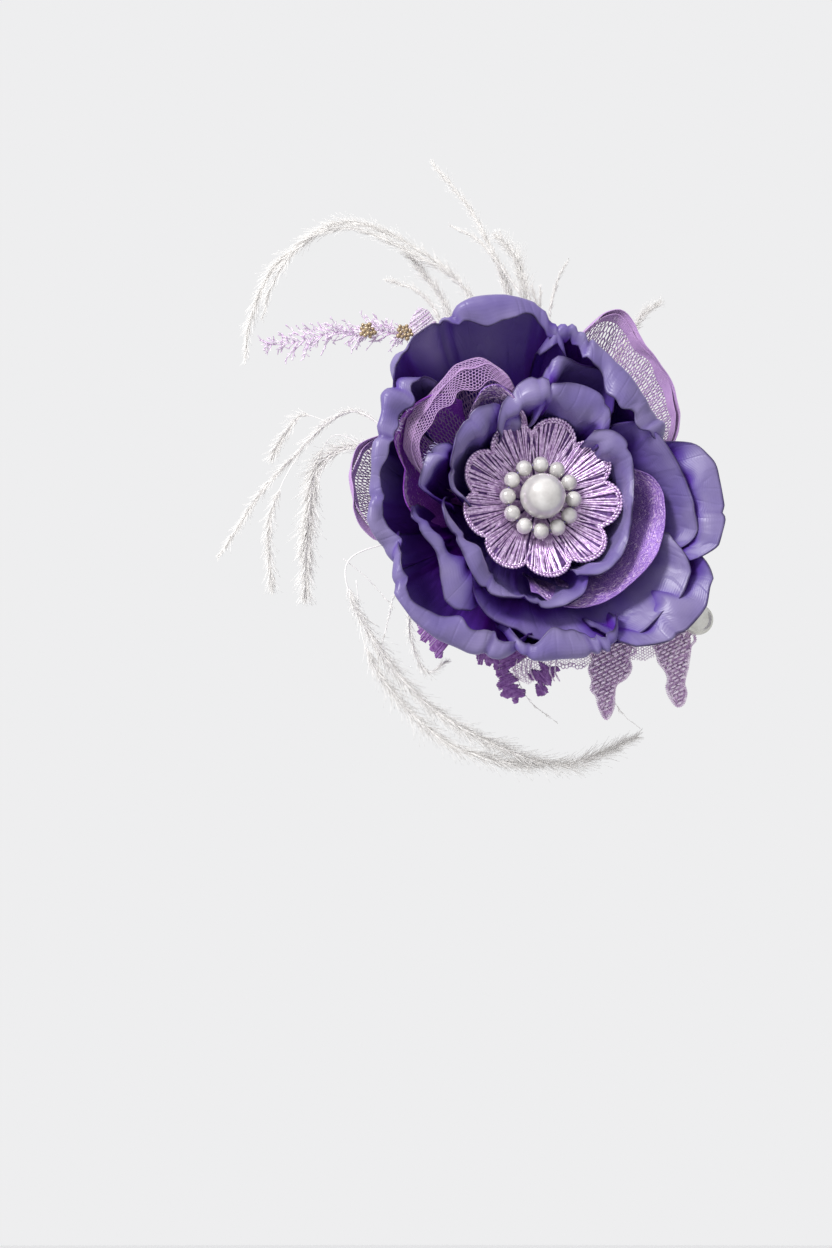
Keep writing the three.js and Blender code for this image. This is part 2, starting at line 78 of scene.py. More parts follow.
def cad_box(node):
    """Lowest and highest corner of a CAD node in the flower frame, in millimetres."""
    points = cad_points(node)
    return points.min(0), points.max(0)


def cad_height(node):
    """Height of a CAD node's middle."""
    low, high = cad_box(node)
    return (low[2] + high[2]) / 2


def cad_ball(node):
    """Centre and radius of a round CAD node."""
    low, high = cad_box(node)
    return (low + high) / 2, (high - low).max() / 2


def polar(reach, angle, z):
    """Points at a distance and an angle in radians round the flower's axis."""
    return np.stack(np.broadcast_arrays(reach * np.cos(angle), reach * np.sin(angle), z), axis=-1)


def circle(count):
    """Evenly spaced angles right round a circle."""
    return 2 * np.pi * np.arange(count) / count


def unit(vectors):
    """Vectors of length one."""
    return vectors / np.maximum(np.linalg.norm(vectors, axis=-1, keepdims=True), 1e-9)


def smooth_curve(keys, values, at):
    """A smooth line through values at rising keys, read at other places."""
    keys, values, at = np.asarray(keys, float), np.asarray(values, float), np.asarray(at, float)
    slopes = np.gradient(values, keys, axis=0)
    i = np.clip(np.searchsorted(keys, at, side="right") - 1, 0, len(keys) - 2)
    step = keys[i + 1] - keys[i]
    t = np.clip((at - keys[i]) / step, 0, 1)
    if values.ndim > 1:
        t, step = t[:, None], step[:, None]
    h00 = 2 * t**3 - 3 * t**2 + 1
    h10 = t**3 - 2 * t**2 + t
    start = h00 * values[i] + h10 * step * slopes[i]
    return start + (1 - h00) * values[i + 1] + (t**3 - t**2) * step * slopes[i + 1]


def read_rows(values, at):
    """Rows of values read at places between them."""
    return np.stack([np.interp(at, np.arange(len(values)), column) for column in values.T], axis=1)


def steps(points, axis=0):
    """The distances between neighbouring points along an axis."""
    return np.linalg.norm(np.diff(points, axis=axis), axis=-1)


def gone_at(lengths):
    """How far along each point is, from the distances between them."""
    return np.concatenate([[0], np.cumsum(lengths)])


def waves(x, seed, lengths):
    """A gentle random wave of about unit height, with the given wavelengths."""
    rng = np.random.default_rng(seed)
    total = np.zeros_like(np.asarray(x, float))
    for length in lengths:
        total = total + rng.uniform(0.6, 1.0) * np.sin(2 * np.pi * x / length + rng.uniform(0, 2 * np.pi))
    return total / len(lengths) ** 0.5


def bulges(x, seed, length):
    """Smooth bulges between sharp creases, unevenly spaced about one length apart."""
    rng = np.random.default_rng(seed)
    warped = x + 0.2 * length * waves(x, seed + 50, (2.7 * length, 4.3 * length))
    return np.abs(np.cos(np.pi * warped / length + rng.uniform(0, np.pi))) ** 0.75 - 0.7


def link_object(name, data):
    """An object of some data in the scene."""
    obj = bpy.data.objects.new(name, data)
    bpy.context.scene.collection.objects.link(obj)
    return obj


def add_mesh(name, points, faces, material):
    """A smooth mesh object of one material from points in the flower frame."""
    mesh = bpy.data.meshes.new(name)
    mesh.from_pydata(to_row(points).tolist(), [], faces)
    mesh.materials.append(material)
    mesh.polygons.foreach_set("use_smooth", np.ones(len(mesh.polygons), bool))
    mesh.update()
    return link_object(name, mesh)


def add_attribute(obj, name, values):
    """A number on each vertex, for the material to read."""
    attribute = obj.data.attributes.new(name, "FLOAT", "POINT")
    attribute.data.foreach_set("value", np.asarray(values, np.float32).ravel())


def place(obj, body="root", nodes=()):
    """Rides a piece on its body and hides the CAD nodes that it stands for."""
    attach(obj, body)
    if nodes:
        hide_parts(*nodes)
    return obj


def tubes(paths, radii, sides, up=(0, 0, 1)):
    """Closed tubes along paths (m, n, 3) with radii (m, n): all their points and faces."""
    paths = np.asarray(paths, float)
    count, length = paths.shape[:2]
    radii = np.broadcast_to(np.asarray(radii, float), (count, length))
    along = unit(np.gradient(paths, axis=1))
    side = unit(np.cross(along, np.broadcast_to(np.asarray(up, float), along.shape)))
    over = np.cross(side, along)
    turn = circle(sides)
    ring = np.cos(turn)[:, None] * side[:, :, None, :] + np.sin(turn)[:, None] * over[:, :, None, :]
    points = paths[:, :, None, :] + radii[:, :, None, None] * ring
    index = np.arange(count * length * sides).reshape(count, length, sides)
    a, b = index[:, :-1], index[:, 1:]
    quads = np.stack([a, np.roll(a, -1, 2), np.roll(b, -1, 2), b], axis=-1).reshape(-1, 4)
    faces = quads.tolist()
    faces += index[:, 0, ::-1].tolist()
    faces += index[:, -1].tolist()
    return points.reshape(-1, 3), faces


def merge(parts):
    """Several (points, faces) as one."""
    points, faces, start = [], [], 0
    for part_points, part_faces in parts:
        points.append(part_points)
        faces += [[i + start for i in face] for face in part_faces]
        start += len(part_points)
    return np.concatenate(points), faces


def resample(points, count):
    """The smooth line through given points, with evenly spaced points on it."""
    points = np.asarray(points, float)
    fine = smooth_curve(np.arange(len(points)), points, np.linspace(0, len(points) - 1, 400))
    gone = gone_at(steps(fine))
    at = np.linspace(0, gone[-1], count)
    return np.stack([np.interp(at, gone, column) for column in fine.T], axis=1)


def ring_faces(index):
    """Faces round the axis and round the section of a closed ring of points (columns, rows)."""
    a, b = index, np.roll(index, -1, 0)
    return np.stack([a, b, np.roll(b, -1, 1), np.roll(a, -1, 1)], axis=-1).reshape(-1, 4).tolist()


def turned_faces(index):
    """Faces of rows of points (columns, rows) that run right round the axis."""
    a, b = index, np.roll(index, -1, 0)
    return np.stack([a[:, :-1], a[:, 1:], b[:, 1:], b[:, :-1]], axis=-1).reshape(-1, 4)


def washer(top, under):
    """A closed ring between two surfaces (columns, rows, 3) that run right round the axis."""
    count, rows = top.shape[:2]
    size = count * rows
    index = np.arange(size).reshape(count, rows)
    upper = turned_faces(index)
    faces = upper.tolist() + (upper[:, ::-1] + size).tolist()
    for row, flip in ((-1, False), (0, True)):
        p, q = index[:, row], np.roll(index[:, row], -1)
        side = np.stack([p, p + size, q + size, q], axis=-1)
        faces += (side[:, ::-1] if flip else side).tolist()
    return np.concatenate([top.reshape(-1, 3), under.reshape(-1, 3)]), faces


# ---------------------------------------------------------------- materials
class Shader:
    """The nodes of a material or a world, with short ways to add and join them."""

    def __init__(self, owner, last):
        owner.use_nodes = True
        self.owner = owner
        self.tree = owner.node_tree
        self.last = self.tree.nodes[last]

    def add(self, kind, **values):
        """A new node with some of its properties set."""
        node = self.tree.nodes.new(kind)
        for key, value in values.items():
            setattr(node, key, value)
        return node

    def feed(self, source, target):
        """Joins an output to an input, or sets the input to a number or a colour."""
        if isinstance(source, bpy.types.NodeSocket):
            self.tree.links.new(source, target)
        else:
            target.default_value = source

    def set(self, **values):
        """Feeds the last node's inputs, whose names have spaces for the underscores."""
        for key, value in values.items():
            self.feed(value, self.last.inputs[key.replace("_", " ")])

    def attribute(self, name):
        """A number that is stored on the piece's vertices."""
        return self.add("ShaderNodeAttribute", attribute_name=name).outputs["Fac"]

    def scaled(self, vector, scale):
        """A vector times a scale."""
        mapping = self.add("ShaderNodeMapping")
        mapping.inputs["Scale"].default_value = scale
        self.feed(vector, mapping.inputs["Vector"])
        return mapping.outputs["Vector"]

    def place_at(self, scale=(1, 1, 1)):
        """Object coordinates in millimetres, times a scale."""
        coords = self.add("ShaderNodeTexCoord")
        return self.scaled(coords.outputs["Object"], [s / MM for s in scale])

    def uv(self, scale):
        """The piece's own cloth coordinates in millimetres, times a scale."""
        return self.scaled(self.add("ShaderNodeUVMap", uv_map="cloth").outputs["UV"], scale)

    def noise(self, vector, scale, detail=3.0, roughness=0.5):
        """Smooth noise, about 0 to 1."""
        node = self.add("ShaderNodeTexNoise")
        names = ("Vector", "Scale", "Detail", "Roughness")
        for name, value in zip(names, (vector, scale, detail, roughness)):
            self.feed(value, node.inputs[name])
        return node.outputs["Fac"]

    def ramp(self, fac, low, high, to=(0.0, 1.0), kind="LINEAR"):
        """From to[0] below low to to[1] above high, along a straight line or a smooth one."""
        node = self.add("ShaderNodeMapRange", interpolation_type=kind)
        for name, value in zip(("Value", "From Min", "From Max", "To Min", "To Max"), (fac, low, high, *to)):
            self.feed(value, node.inputs[name])
        return node.outputs["Result"]

    def math(self, operation, *values):
        """One calculation on numbers or outputs."""
        node = self.add("ShaderNodeMath", operation=operation)
        for value, socket in zip(values, node.inputs):
            self.feed(value, socket)
        return node.outputs[0]

    def mix(self, fac, a, b):
        """A colour between a and b, each a colour or an output."""
        node = self.add("ShaderNodeMix", data_type="RGBA")
        for value, socket in ((fac, node.inputs[0]), (a, node.inputs[6]), (b, node.inputs[7])):
            self.feed(value, socket)
        return node.outputs[2]

    def bump(self, height, strength, distance_mm, normal=None):
        """A normal bent by a height, on top of another bump's normal where one is given."""
        node = self.add("ShaderNodeBump")
        node.inputs["Strength"].default_value = strength
        node.inputs["Distance"].default_value = distance_mm * MM
        self.feed(height, node.inputs["Height"])
        if normal is not None:
            self.feed(normal, node.inputs["Normal"])
        return node.outputs["Normal"]


def surface(name):
    """A new material's nodes."""
    return Shader(bpy.data.materials.new(name), "Principled BSDF")


def srgb(red, green, blue):
    """A colour from its 0 to 255 screen values."""
    linear = [((c / 255 + 0.055) / 1.055) ** 2.4 if c > 10 else c / 255 / 12.92 for c in (red, green, blue)]
    return (*linear, 1)


SATIN_LIGHT = srgb(119, 108, 151)
SATIN_WARM = srgb(99, 86, 142)
# Painted shade: the colours the cloth is given in folds and down its walls, shallow and deep.
SATIN_SHADED = srgb(80, 50, 146)
SATIN_DEEP_SHADE = srgb(72, 6, 124)
SATIN_SHEEN = srgb(206, 198, 248)
# The plum of flame-sealed edges, also used as painted shade along creases.
SINGED_AND_SHADE = srgb(34, 16, 62)


def satin_material(name):
    """Satin with painted shade: deeper violet, with less sheen and reflection, where a petal folds in on
    itself or runs down to its foot; browned to plum where a flame has sealed it, and darkened in the same
    plum along its creases as painted shade.
    """
    s = surface(name)
    drift = s.ramp(s.noise(s.place_at(), 0.09, 2.0), 0.35, 0.65)
    cloth = s.mix(drift, SATIN_LIGHT, SATIN_WARM)
    # Painted shade: the stored shade turns the cloth violet and dark in folds and towards the foot.
    depth = s.attribute("depth")
    cloth = s.mix(s.ramp(depth, 0.08, 0.5), cloth, SATIN_SHADED)
    cloth = s.mix(s.ramp(depth, 0.42, 0.95), cloth, SATIN_DEEP_SHADE)
    # Painted shade also dims the sheen and the reflections below, where the stored shade is high.
    unshaded = s.ramp(depth, 0.6, 0.0)
    ribs = s.add("ShaderNodeTexWave", bands_direction="Y")
    ribs.inputs["Scale"].default_value = 1.0
    s.feed(s.uv((0.65, 0.65, 1.0)), ribs.inputs["Vector"])
    weave = s.bump(ribs.outputs["Fac"], 0.22, 0.06)
    creased = s.bump(s.noise(s.place_at(), 0.9, 2.0), 0.12, 0.3, weave)
    crumple = s.bump(s.noise(s.place_at(), 0.16, 1.0), 0.3, 1.6, creased)
    ridged = s.math("SUBTRACT", s.noise(s.uv((0.3, 0.1, 1.0)), 1.0, 1.0, 0.4), 0.5)
    ridges = s.ramp(s.math("ABSOLUTE", ridged), 0.0, 0.07)
    # Real flame-sealed edges and painted crease shade both darken the cloth towards plum.
    s.set(Base_Color=s.mix(s.attribute("singe_and_shade"), cloth, SINGED_AND_SHADE), Normal=s.bump(ridges, 0.2, 0.4, crumple))
    s.set(Roughness=0.38, Anisotropic=0.6, Specular_IOR_Level=s.math("MULTIPLY_ADD", unshaded, 0.42, 0.03))
    s.set(Tangent=s.add("ShaderNodeTangent", direction_type="UV_MAP", uv_map="cloth").outputs["Tangent"])
    s.set(Sheen_Roughness=0.35, Sheen_Tint=SATIN_SHEEN, Sheen_Weight=s.math("MULTIPLY", unshaded, 0.16))
    return s.owner


def net_material():
    """Matt lilac net in two drifting tones."""
    s = surface("lilac_net")
    tint = s.mix(s.noise(s.place_at(), 0.25, 2.0), srgb(192, 156, 202), srgb(156, 118, 178))
    s.set(Base_Color=tint, Roughness=0.5, Sheen_Weight=0.3)
    return s.owner


def organza_material(name, ground, glitter, metallic):
    """Cloth with a fine glitter in its weave."""
    s = surface(name)
    grain = s.noise(s.place_at(), 6.0, 2.0)
    s.set(Base_Color=s.mix(s.ramp(grain, 0.4, 0.62), ground, glitter), Normal=s.bump(grain, 0.5, 0.2))
    s.set(Roughness=0.42, Metallic=metallic)
    return s.owner


def thread_material(name, dark, light, metallic=0.65, roughness=0.32):
    """Thread in two close tones."""
    s = surface(name)
    tone = s.ramp(s.noise(s.place_at(), 1.3, 2.0), 0.35, 0.65)
    s.set(Base_Color=s.mix(tone, dark, light), Normal=s.bump(s.noise(s.place_at(), 9.0, 1.0), 0.25, 0.08))
    s.set(Roughness=roughness, Metallic=metallic)
    return s.owner


def pearl_material(name, base, warm):
    """A mottled bead under a clear coat."""
    s = surface(name)
    mottled = s.ramp(s.noise(s.place_at(), 0.35), 0.35, 0.65)
    s.set(Base_Color=s.mix(mottled, base, warm), Normal=s.bump(s.noise(s.place_at(), 3.0, 2.0), 0.06, 0.1))
    s.set(Roughness=0.22, Coat_Weight=0.8, Coat_Roughness=0.06, Metallic=0.25, Specular_IOR_Level=0.6)
    return s.owner


def feather_material():
    """Dull ivory barbs that hardly shine."""
    s = surface("ivory_feather")
    tint = s.mix(s.noise(s.place_at(), 0.2, 2.0), srgb(247, 245, 242), srgb(232, 229, 227))
    s.set(Base_Color=tint, Roughness=0.85, Sheen_Weight=0.1, Specular_IOR_Level=0.15)
    return s.owner


def felt_material():
    """Felt: pale fibres over darker clumps."""
    s = surface("purple_felt")
    fibres = s.ramp(s.noise(s.place_at(), 1.5, 5.0, 0.75), 0.32, 0.68)
    clumps = s.ramp(s.noise(s.place_at(), 0.35, 2.0), 0.3, 0.7)
    dark = s.mix(clumps, srgb(58, 44, 108), srgb(76, 60, 130))
    s.set(Base_Color=s.mix(fibres, dark, srgb(122, 106, 178)), Normal=s.bump(fibres, 0.9, 0.35))
    s.set(Roughness=0.95, Sheen_Weight=0.5, Sheen_Roughness=0.5)
    return s.owner


def steel_material():
    """Bright plated steel with faint streaks along it."""
    s = surface("plated_steel")
    streaks = s.noise(s.place_at((0.3, 6, 6)), 1.0)
    tint = s.mix(streaks, srgb(196, 198, 204), srgb(150, 152, 158))
    s.set(Base_Color=tint, Normal=s.bump(streaks, 0.08, 0.05))
    s.set(Metallic=1.0, Roughness=s.ramp(streaks, 0.0, 1.0, (0.14, 0.32)))
    return s.owner


SATIN = satin_material("periwinkle_satin")
NET = net_material()
ORGANZA = organza_material("glitter_organza", srgb(92, 50, 146), srgb(172, 136, 202), 0.25)
# A brighter plum copy of the glitter organza for the shaded upper left: a plum tone, with painted light
# against the shade it lies in.
ORGANZA_PAINTED_LIGHT = organza_material("plum_organza_painted_light", srgb(124, 26, 174), srgb(168, 92, 206), 0.0)
THREAD = thread_material("metallic_lilac_thread", srgb(172, 138, 186), srgb(228, 206, 236))
THREAD_GROUND = thread_material("plum_ground", srgb(70, 38, 98), srgb(110, 74, 140), 0.1, 0.7)
LACE = thread_material("silver_lilac_lace", srgb(200, 170, 206), srgb(244, 232, 246), 0.25, 0.34)
LACE_GROUND = thread_material("mauve_lace_ground", srgb(182, 144, 192), srgb(210, 180, 216), 0.1, 0.5)
LACE_DARK = thread_material("plum_lace", srgb(124, 72, 148), srgb(160, 114, 182), 0.1, 0.55)
PEARL = pearl_material("imitation_pearl", srgb(214, 211, 209), srgb(190, 186, 184))
BEAD = pearl_material("beige_bead", srgb(168, 146, 112), srgb(140, 118, 88))
CLEAR = pearl_material("clear_bead", srgb(226, 226, 218), srgb(205, 204, 194))
FEATHER = feather_material()
FELT = felt_material()
STEEL = steel_material()
LOOSE_THREAD = thread_material("loose_satin_thread", srgb(176, 168, 214), srgb(206, 198, 232), 0.0, 0.5)
STITCH = thread_material("sewing_thread", srgb(120, 100, 170), srgb(160, 140, 205), 0.0, 0.6)


# ---------------------------------------------------------------- camera, light and stage
FOCUS = np.array([0.0, 0.0, 21.0])  # the middle of the flower
FOCUS_IN_PICTURE = (0.6526, 0.3974)  # where it sits in the picture, as shares from the top left
CAMERA_AZIMUTH, CAMERA_ELEVATION = -12.0, -10.0
CAMERA_DISTANCE = 700.0
FRAME_PX = (832, 1248)
PX_PER_MM = 4.6
SENSOR = 36.0
CLIP_NEAR, CLIP_FAR = 0.01, 30
# The stage, in metres.
FLOOR_DROP = 0.2
FLOOR_RADIUS = 6.0
FLOOR_SIDES = 96
SOFT_LIGHT_FROM = (-0.62, -0.42, 0.66)
KEY_LIGHT_AT = (-0.75, -0.7, 0.65)
KEY_LIGHT_SIZE = 0.35
KEY_LIGHT_POWER = 14.5


def turn_to(obj, heading):
    """Points an object's own -Z along a heading and returns its turn."""
    turn = heading.to_track_quat("-Z", "Y")
    obj.rotation_mode = "QUATERNION"
    obj.rotation_quaternion = turn
    return turn


def make_camera():
    """A far camera that sees the flower where the picture has it."""
    data = bpy.data.cameras.new("camera")
    camera = link_object("camera", data)
    azimuth, elevation = math.radians(CAMERA_AZIMUTH), math.radians(CAMERA_ELEVATION)
    flat = math.cos(elevation)
    back = Vector((math.sin(azimuth) * flat, -math.cos(azimuth) * flat, math.sin(elevation)))
    turn = turn_to(camera, -back)
    right, up = turn @ Vector((1, 0, 0)), turn @ Vector((0, 1, 0))
    width_mm, height_mm = (pixels / PX_PER_MM for pixels in FRAME_PX)
    across = (FOCUS_IN_PICTURE[0] - 0.5) * width_mm * MM
    above = (0.5 - FOCUS_IN_PICTURE[1]) * height_mm * MM
    focus = Vector(to_row(FOCUS))
    camera.location = focus - right * across - up * above + back * (CAMERA_DISTANCE * MM)
    data.sensor_width = SENSOR
    data.lens = SENSOR * CAMERA_DISTANCE / height_mm
    data.clip_start = CLIP_NEAR
    data.clip_end = CLIP_FAR
    bpy.context.scene.camera = camera


def make_key_light():
    """One large soft light from the upper left in front."""
    data = bpy.data.lights.new("key", "AREA")
    data.shape = "DISK"
    data.size = KEY_LIGHT_SIZE
    data.energy = KEY_LIGHT_POWER
    light = link_object("key", data)
    light.location = KEY_LIGHT_AT
    turn_to(light, -Vector(KEY_LIGHT_AT))


def make_world():
    """A pale studio: soft light from the upper left in front, dimmer from the lower right, plain behind."""
    world = bpy.data.worlds.new("studio")
    s = Shader(world, "Background")
    direction = s.add("ShaderNodeTexCoord").outputs["Generated"]
    toward = s.add("ShaderNodeVectorMath", operation="DOT_PRODUCT")
    s.feed(direction, toward.inputs[0])
    s.feed(SOFT_LIGHT_FROM, toward.inputs[1])
    parts = s.add("ShaderNodeSeparateXYZ")
    s.feed(direction, parts.inputs["Vector"])
    front = s.ramp(toward.outputs["Value"], -0.7, 0.7, (0.22, 1.15), "SMOOTHSTEP")
    behind = s.ramp(parts.outputs["Y"], 0.1, 0.6, kind="SMOOTHSTEP")
    s.set(Color=srgb(238, 238, 239), Strength=s.math("MAXIMUM", front, behind))
    bpy.context.scene.world = world


def make_floor():
    """A pale floor under the object that brightens to the backdrop's tone far away."""
    turn = circle(FLOOR_SIDES)
    floor_z = np.full(FLOOR_SIDES, CAD_BOX[0].z - FLOOR_DROP)
    points = np.stack([FLOOR_RADIUS * np.cos(turn), FLOOR_RADIUS * np.sin(turn), floor_z], axis=1)
    mesh = bpy.data.meshes.new("floor")
    mesh.from_pydata(points.tolist(), [], [list(range(FLOOR_SIDES))])
    s = surface("pale_floor")
    away = s.add("ShaderNodeVectorMath", operation="LENGTH")
    s.feed(s.add("ShaderNodeTexCoord").outputs["Object"], away.inputs[0])
    tone = s.mix(s.ramp(away.outputs["Value"], 0.2, 2.4), srgb(190, 190, 191), srgb(242, 242, 243))
    s.set(Base_Color=tone, Roughness=0.9)
    mesh.materials.append(s.owner)
    link_object("floor", mesh)


def make_stage():
    """Floor, world and light, shown in plain screen colours."""
    make_floor()
    make_world()
    make_key_light()
    bpy.context.scene.view_settings.view_transform = "Standard"


# ---------------------------------------------------------------- satin petals
COLUMN_MM = 0.7
WALL_ROWS, LIP_ROWS = 16, 14
FOOT_SLOPE = np.radians(34)
CLOTH = 0.2
EDGE_BEAD = 0.12  # how far the sealed edge stands off each side of the cloth
SINGE = 0.9


def near_turn(angle, middle):
    """Angles counted on the turn that lies round a middle one."""
    return middle + (angle - middle + np.pi) % (2 * np.pi) - np.pi


def petal_frame(node):
    """Where a CAD petal runs: its angles, its rim's reach at each of them, its top and its foot."""
    points = cad_points(node)
    x, y, z = points.T
    angle = near_turn(np.arctan2(y, x), np.arctan2(y.mean(), x.mean()))
    reach = np.hypot(x, y)
    columns = np.round(angle, 3)
    found = []
    for value in np.unique(columns):
        at = columns == value
        rim = at & (z > z[at].max() - 0.01)
        if not found or value - found[-1][0] > 0.02:
            found.append((value, reach[rim].min()))
    angles, rims = np.array(found).T
    foot_reach = reach[z < z.min() + 0.01].min()
    return {"angles": angles, "rim": rims, "top": z.max(), "foot_reach": foot_reach, "foot_z": z.min()}


def on_rim(span, angle):
    """The CAD rim's reach at some angles, whichever turn they are counted on."""
    return np.interp(near_turn(angle, span["angles"].mean()), span["angles"], span["rim"])


def from_zero(lengths):
    """Running sums along each row, from zero."""
    return np.concatenate([np.zeros((len(lengths), 1)), np.cumsum(lengths, axis=1)], axis=1)


def lip_curl(lip, slope, turn):
    """Each column's lip as reach and height from the crest: it starts along the slope and turns over."""
    t = np.linspace(0, 1, LIP_ROWS + 1)
    sharp = 1.25 + 2.2 * np.clip((np.abs(turn) - 0.8) / 1.2, 0, 1)[:, None]
    heading = slope[:, None] - turn[:, None] * (1 - (1 - t) ** sharp)
    step = lip[:, None] / LIP_ROWS
    middle = (heading[:, 1:] + heading[:, :-1]) / 2
    return from_zero(np.cos(middle) * step), from_zero(np.sin(middle) * step)


def wall_curve(span, crest_r, crest_z, slope):
    """Each column's wall as reach and height: a Bezier curve from the foot to the crest."""
    foot_r, foot_z = np.full(len(slope), span["foot_reach"]), np.full(len(slope), span["foot_z"])
    pull = 0.38 * np.hypot(crest_r - foot_r, crest_z - foot_z)
    b = np.linspace(0, 1, WALL_ROWS + 1)[None, :-1]
    guides = [
        (foot_r, foot_z),
        (foot_r + pull * np.cos(FOOT_SLOPE), foot_z + pull * np.sin(FOOT_SLOPE)),
        (crest_r - pull * np.cos(slope), crest_z - pull * np.sin(slope)),
        (crest_r, crest_z),
    ]
    weights = [(1 - b) ** 3, 3 * b * (1 - b) ** 2, 3 * b**2 * (1 - b), b**3]
    return (sum(w * guide[k][:, None] for w, guide in zip(weights, guides)) for k in (0, 1))


def petal_grid(node, keys, seed, tucks=(), wave=0.6, ruffle=0.55):
    """A petal's middle surface (columns, rows, 3) and how creased it is, from its listed sections."""
    span = petal_frame(node)
    keys = np.asarray(keys, float)
    length = np.radians(keys[-1, 0] - keys[0, 0]) * span["rim"].mean()
    count = max(24, int(length / COLUMN_MM))
    degrees = np.linspace(keys[0, 0], keys[-1, 0], count)
    out, rise, slope, lip, turn = smooth_curve(keys[:, 0], keys[:, 1:6], degrees).T
    angle = np.radians(degrees)
    pinch = np.zeros(count)
    for where, wide, deep in tucks:
        pinch = pinch + deep * np.exp(-(((degrees - where) / wide) ** 2))
    run = (degrees - keys[0, 0]) / (keys[-1, 0] - keys[0, 0]) * length
    slope = np.radians(slope + 5 * waves(run, seed + 3, (13, 21)))
    turn = np.radians(turn * (1 + 0.12 * waves(run, seed + 4, (12, 21))))
    lip = np.maximum(lip, 0.4) * (1 + 0.2 * waves(run, seed, (7, 11, 19)))
    lip_r, lip_z = lip_curl(lip + 0.05 * waves(run, seed + 7, (2.3, 3.7, 5.9)), slope, turn)
    crest_r = on_rim(span, angle) + out - pinch - lip_r.max(axis=1)
    crest_z = span["top"] + rise - 0.5 * pinch - lip_z.max(axis=1)
    wall_r, wall_z = wall_curve(span, crest_r, crest_z, slope)
    r = np.concatenate([wall_r, crest_r[:, None] + lip_r], axis=1)
    z = np.concatenate([wall_z, crest_z[:, None] + lip_z], axis=1)
    grid = polar(r, angle[:, None], z)

    run = run[:, None]
    height = np.linspace(0, 1, r.shape[1])[None, :]
    swell = wave * waves(run + 9 * height, seed + 1, (15, 24)) * height**1.5
    folds = bulges(run + 4 * height, seed + 2, 13 + 1.3 * (seed % 7))
    swell = swell + ruffle * folds * height**3
    swell = swell + 0.04 * waves(run - 5 * height, seed + 8, (2.9, 4.3, 6.7)) * height**2
    swell = swell + 0.16 * waves(run, seed + 6, (2.6, 3.7, 5.1)) * np.exp(-(((height - 0.2) / 0.16) ** 2))
    creased = pinch[:, None] + 1.2 * ruffle * np.clip(-folds - 0.3, 0, 1) * height**2
    return grid + grid_normals(grid) * swell[..., None], creased


def grid_normals(grid):
    """Which way the cloth faces at each point of its grid."""
    return unit(np.cross(np.gradient(grid, axis=0), np.gradient(grid, axis=1)))


def edge_distance(grid):
    """How far each point of the grid is from the petal's free edges, over the cloth."""
    to_edge = from_zero(steps(grid, 1)[:, ::-1])[:, ::-1]
    from_start = from_zero(steps(grid).T).T
    to_end = from_start[-1:] - from_start
    return np.minimum(to_edge, np.minimum(from_start, to_end))


def cloth_shell(grid, thickness, edge_extra):
    """A closed cloth of some thickness round a grid, fuller along its free edges."""
    normal = grid_normals(grid)
    edge = edge_distance(grid)
    offset = normal * (thickness / 2 + edge_extra * np.exp(-((edge / 0.35) ** 2)))[..., None]
    columns, rows = grid.shape[:2]
    size = columns * rows
    index = np.arange(size).reshape(columns, rows)
    a, b, c, d = index[:-1, :-1], index[1:, :-1], index[1:, 1:], index[:-1, 1:]
    faces = np.stack([a, b, c, d], axis=-1).reshape(-1, 4).tolist()
    faces += (np.stack([d, c, b, a], axis=-1).reshape(-1, 4) + size).tolist()
    ring = np.concatenate([index[:, 0], index[-1, 1:], index[-2::-1, -1], index[0, -2:0:-1]])
    following = np.roll(ring, -1)
    faces += np.stack([following, ring, ring + size, following + size], axis=-1).tolist()
    points = np.concatenate([(grid + offset).reshape(-1, 3), (grid - offset).reshape(-1, 3)])
    return points, faces, np.tile(edge.ravel(), 2)


def grid_size(grid):
    """A grid's longest row and mean column, in millimetres."""
    return steps(grid).sum(axis=0).max(), steps(grid, 1).sum(axis=1).mean()


def finish_cloth(obj, grid, nodes=()):
    """What every piece of whole cloth ends with."""
    add_cloth_uv(obj, grid)
    place(obj, nodes=nodes)


def add_cloth_uv(obj, grid):
    """Cloth coordinates in millimetres: along the petal and from its foot to its edge."""
    u = gone_at(steps(grid).mean(axis=1))
    v = gone_at(steps(grid, 1).mean(axis=0))
    flat = np.stack(np.meshgrid(u, v, indexing="ij"), axis=-1).reshape(-1, 2)
    both = np.tile(flat, (2, 1))
    loops = np.zeros(len(obj.data.loops), np.int32)
    obj.data.loops.foreach_get("vertex_index", loops)
    layer = obj.data.uv_layers.new(name="cloth")
    layer.data.foreach_set("uv", both[loops].astype(np.float32).ravel())


def satin_petal(node, keys, seed, **shape):
    """One satin petal, with its flame-sealed edges and the painted shade of its creases stored on it; the
    painted shade of its folds and walls is stored once all the petals are there.
    """
    grid, creased = petal_grid(node, keys, seed, TUCKS[node], **shape)
    points, faces, edge = cloth_shell(grid, CLOTH, EDGE_BEAD)
    obj = add_mesh(node + "_cloth", points, faces, SATIN)
    patchy = 0.5 + 0.5 * waves(points[:, 0] + 2 * points[:, 1], seed + 5, (9, 17))
    burn_and_shade = SINGE * np.clip(0.45 + 0.8 * patchy, 0, 1) * np.exp(-((edge / 0.4) ** 2))
    # Painted shade: creases and tucks are darkened towards the plum of the sealed edges.
    crease_shade = np.tile((0.5 * np.clip(creased - 0.35, 0, 0.8)).ravel(), 2)
    burn_and_shade = np.maximum(burn_and_shade, crease_shade * np.clip(1.4 * patchy, 0, 1))
    add_attribute(obj, "singe_and_shade", np.clip(burn_and_shade, 0, 1))
    # Painted shade: darker down the wall towards its foot and along creases; shade_folds adds the folds'
    # painted shade.
    down = WALL_SHADE.get(node, 1.0) * np.linspace(0, 1, WALL_ROWS + 1)[::-1]
    depth = np.concatenate([down, np.zeros(LIP_ROWS)])[None, :] + 0.4 * np.minimum(creased, 1.0)
    finish_cloth(obj, grid, [node])
    return {"piece": obj, "grid": grid, "depth": depth, "points": points, "faces": faces}


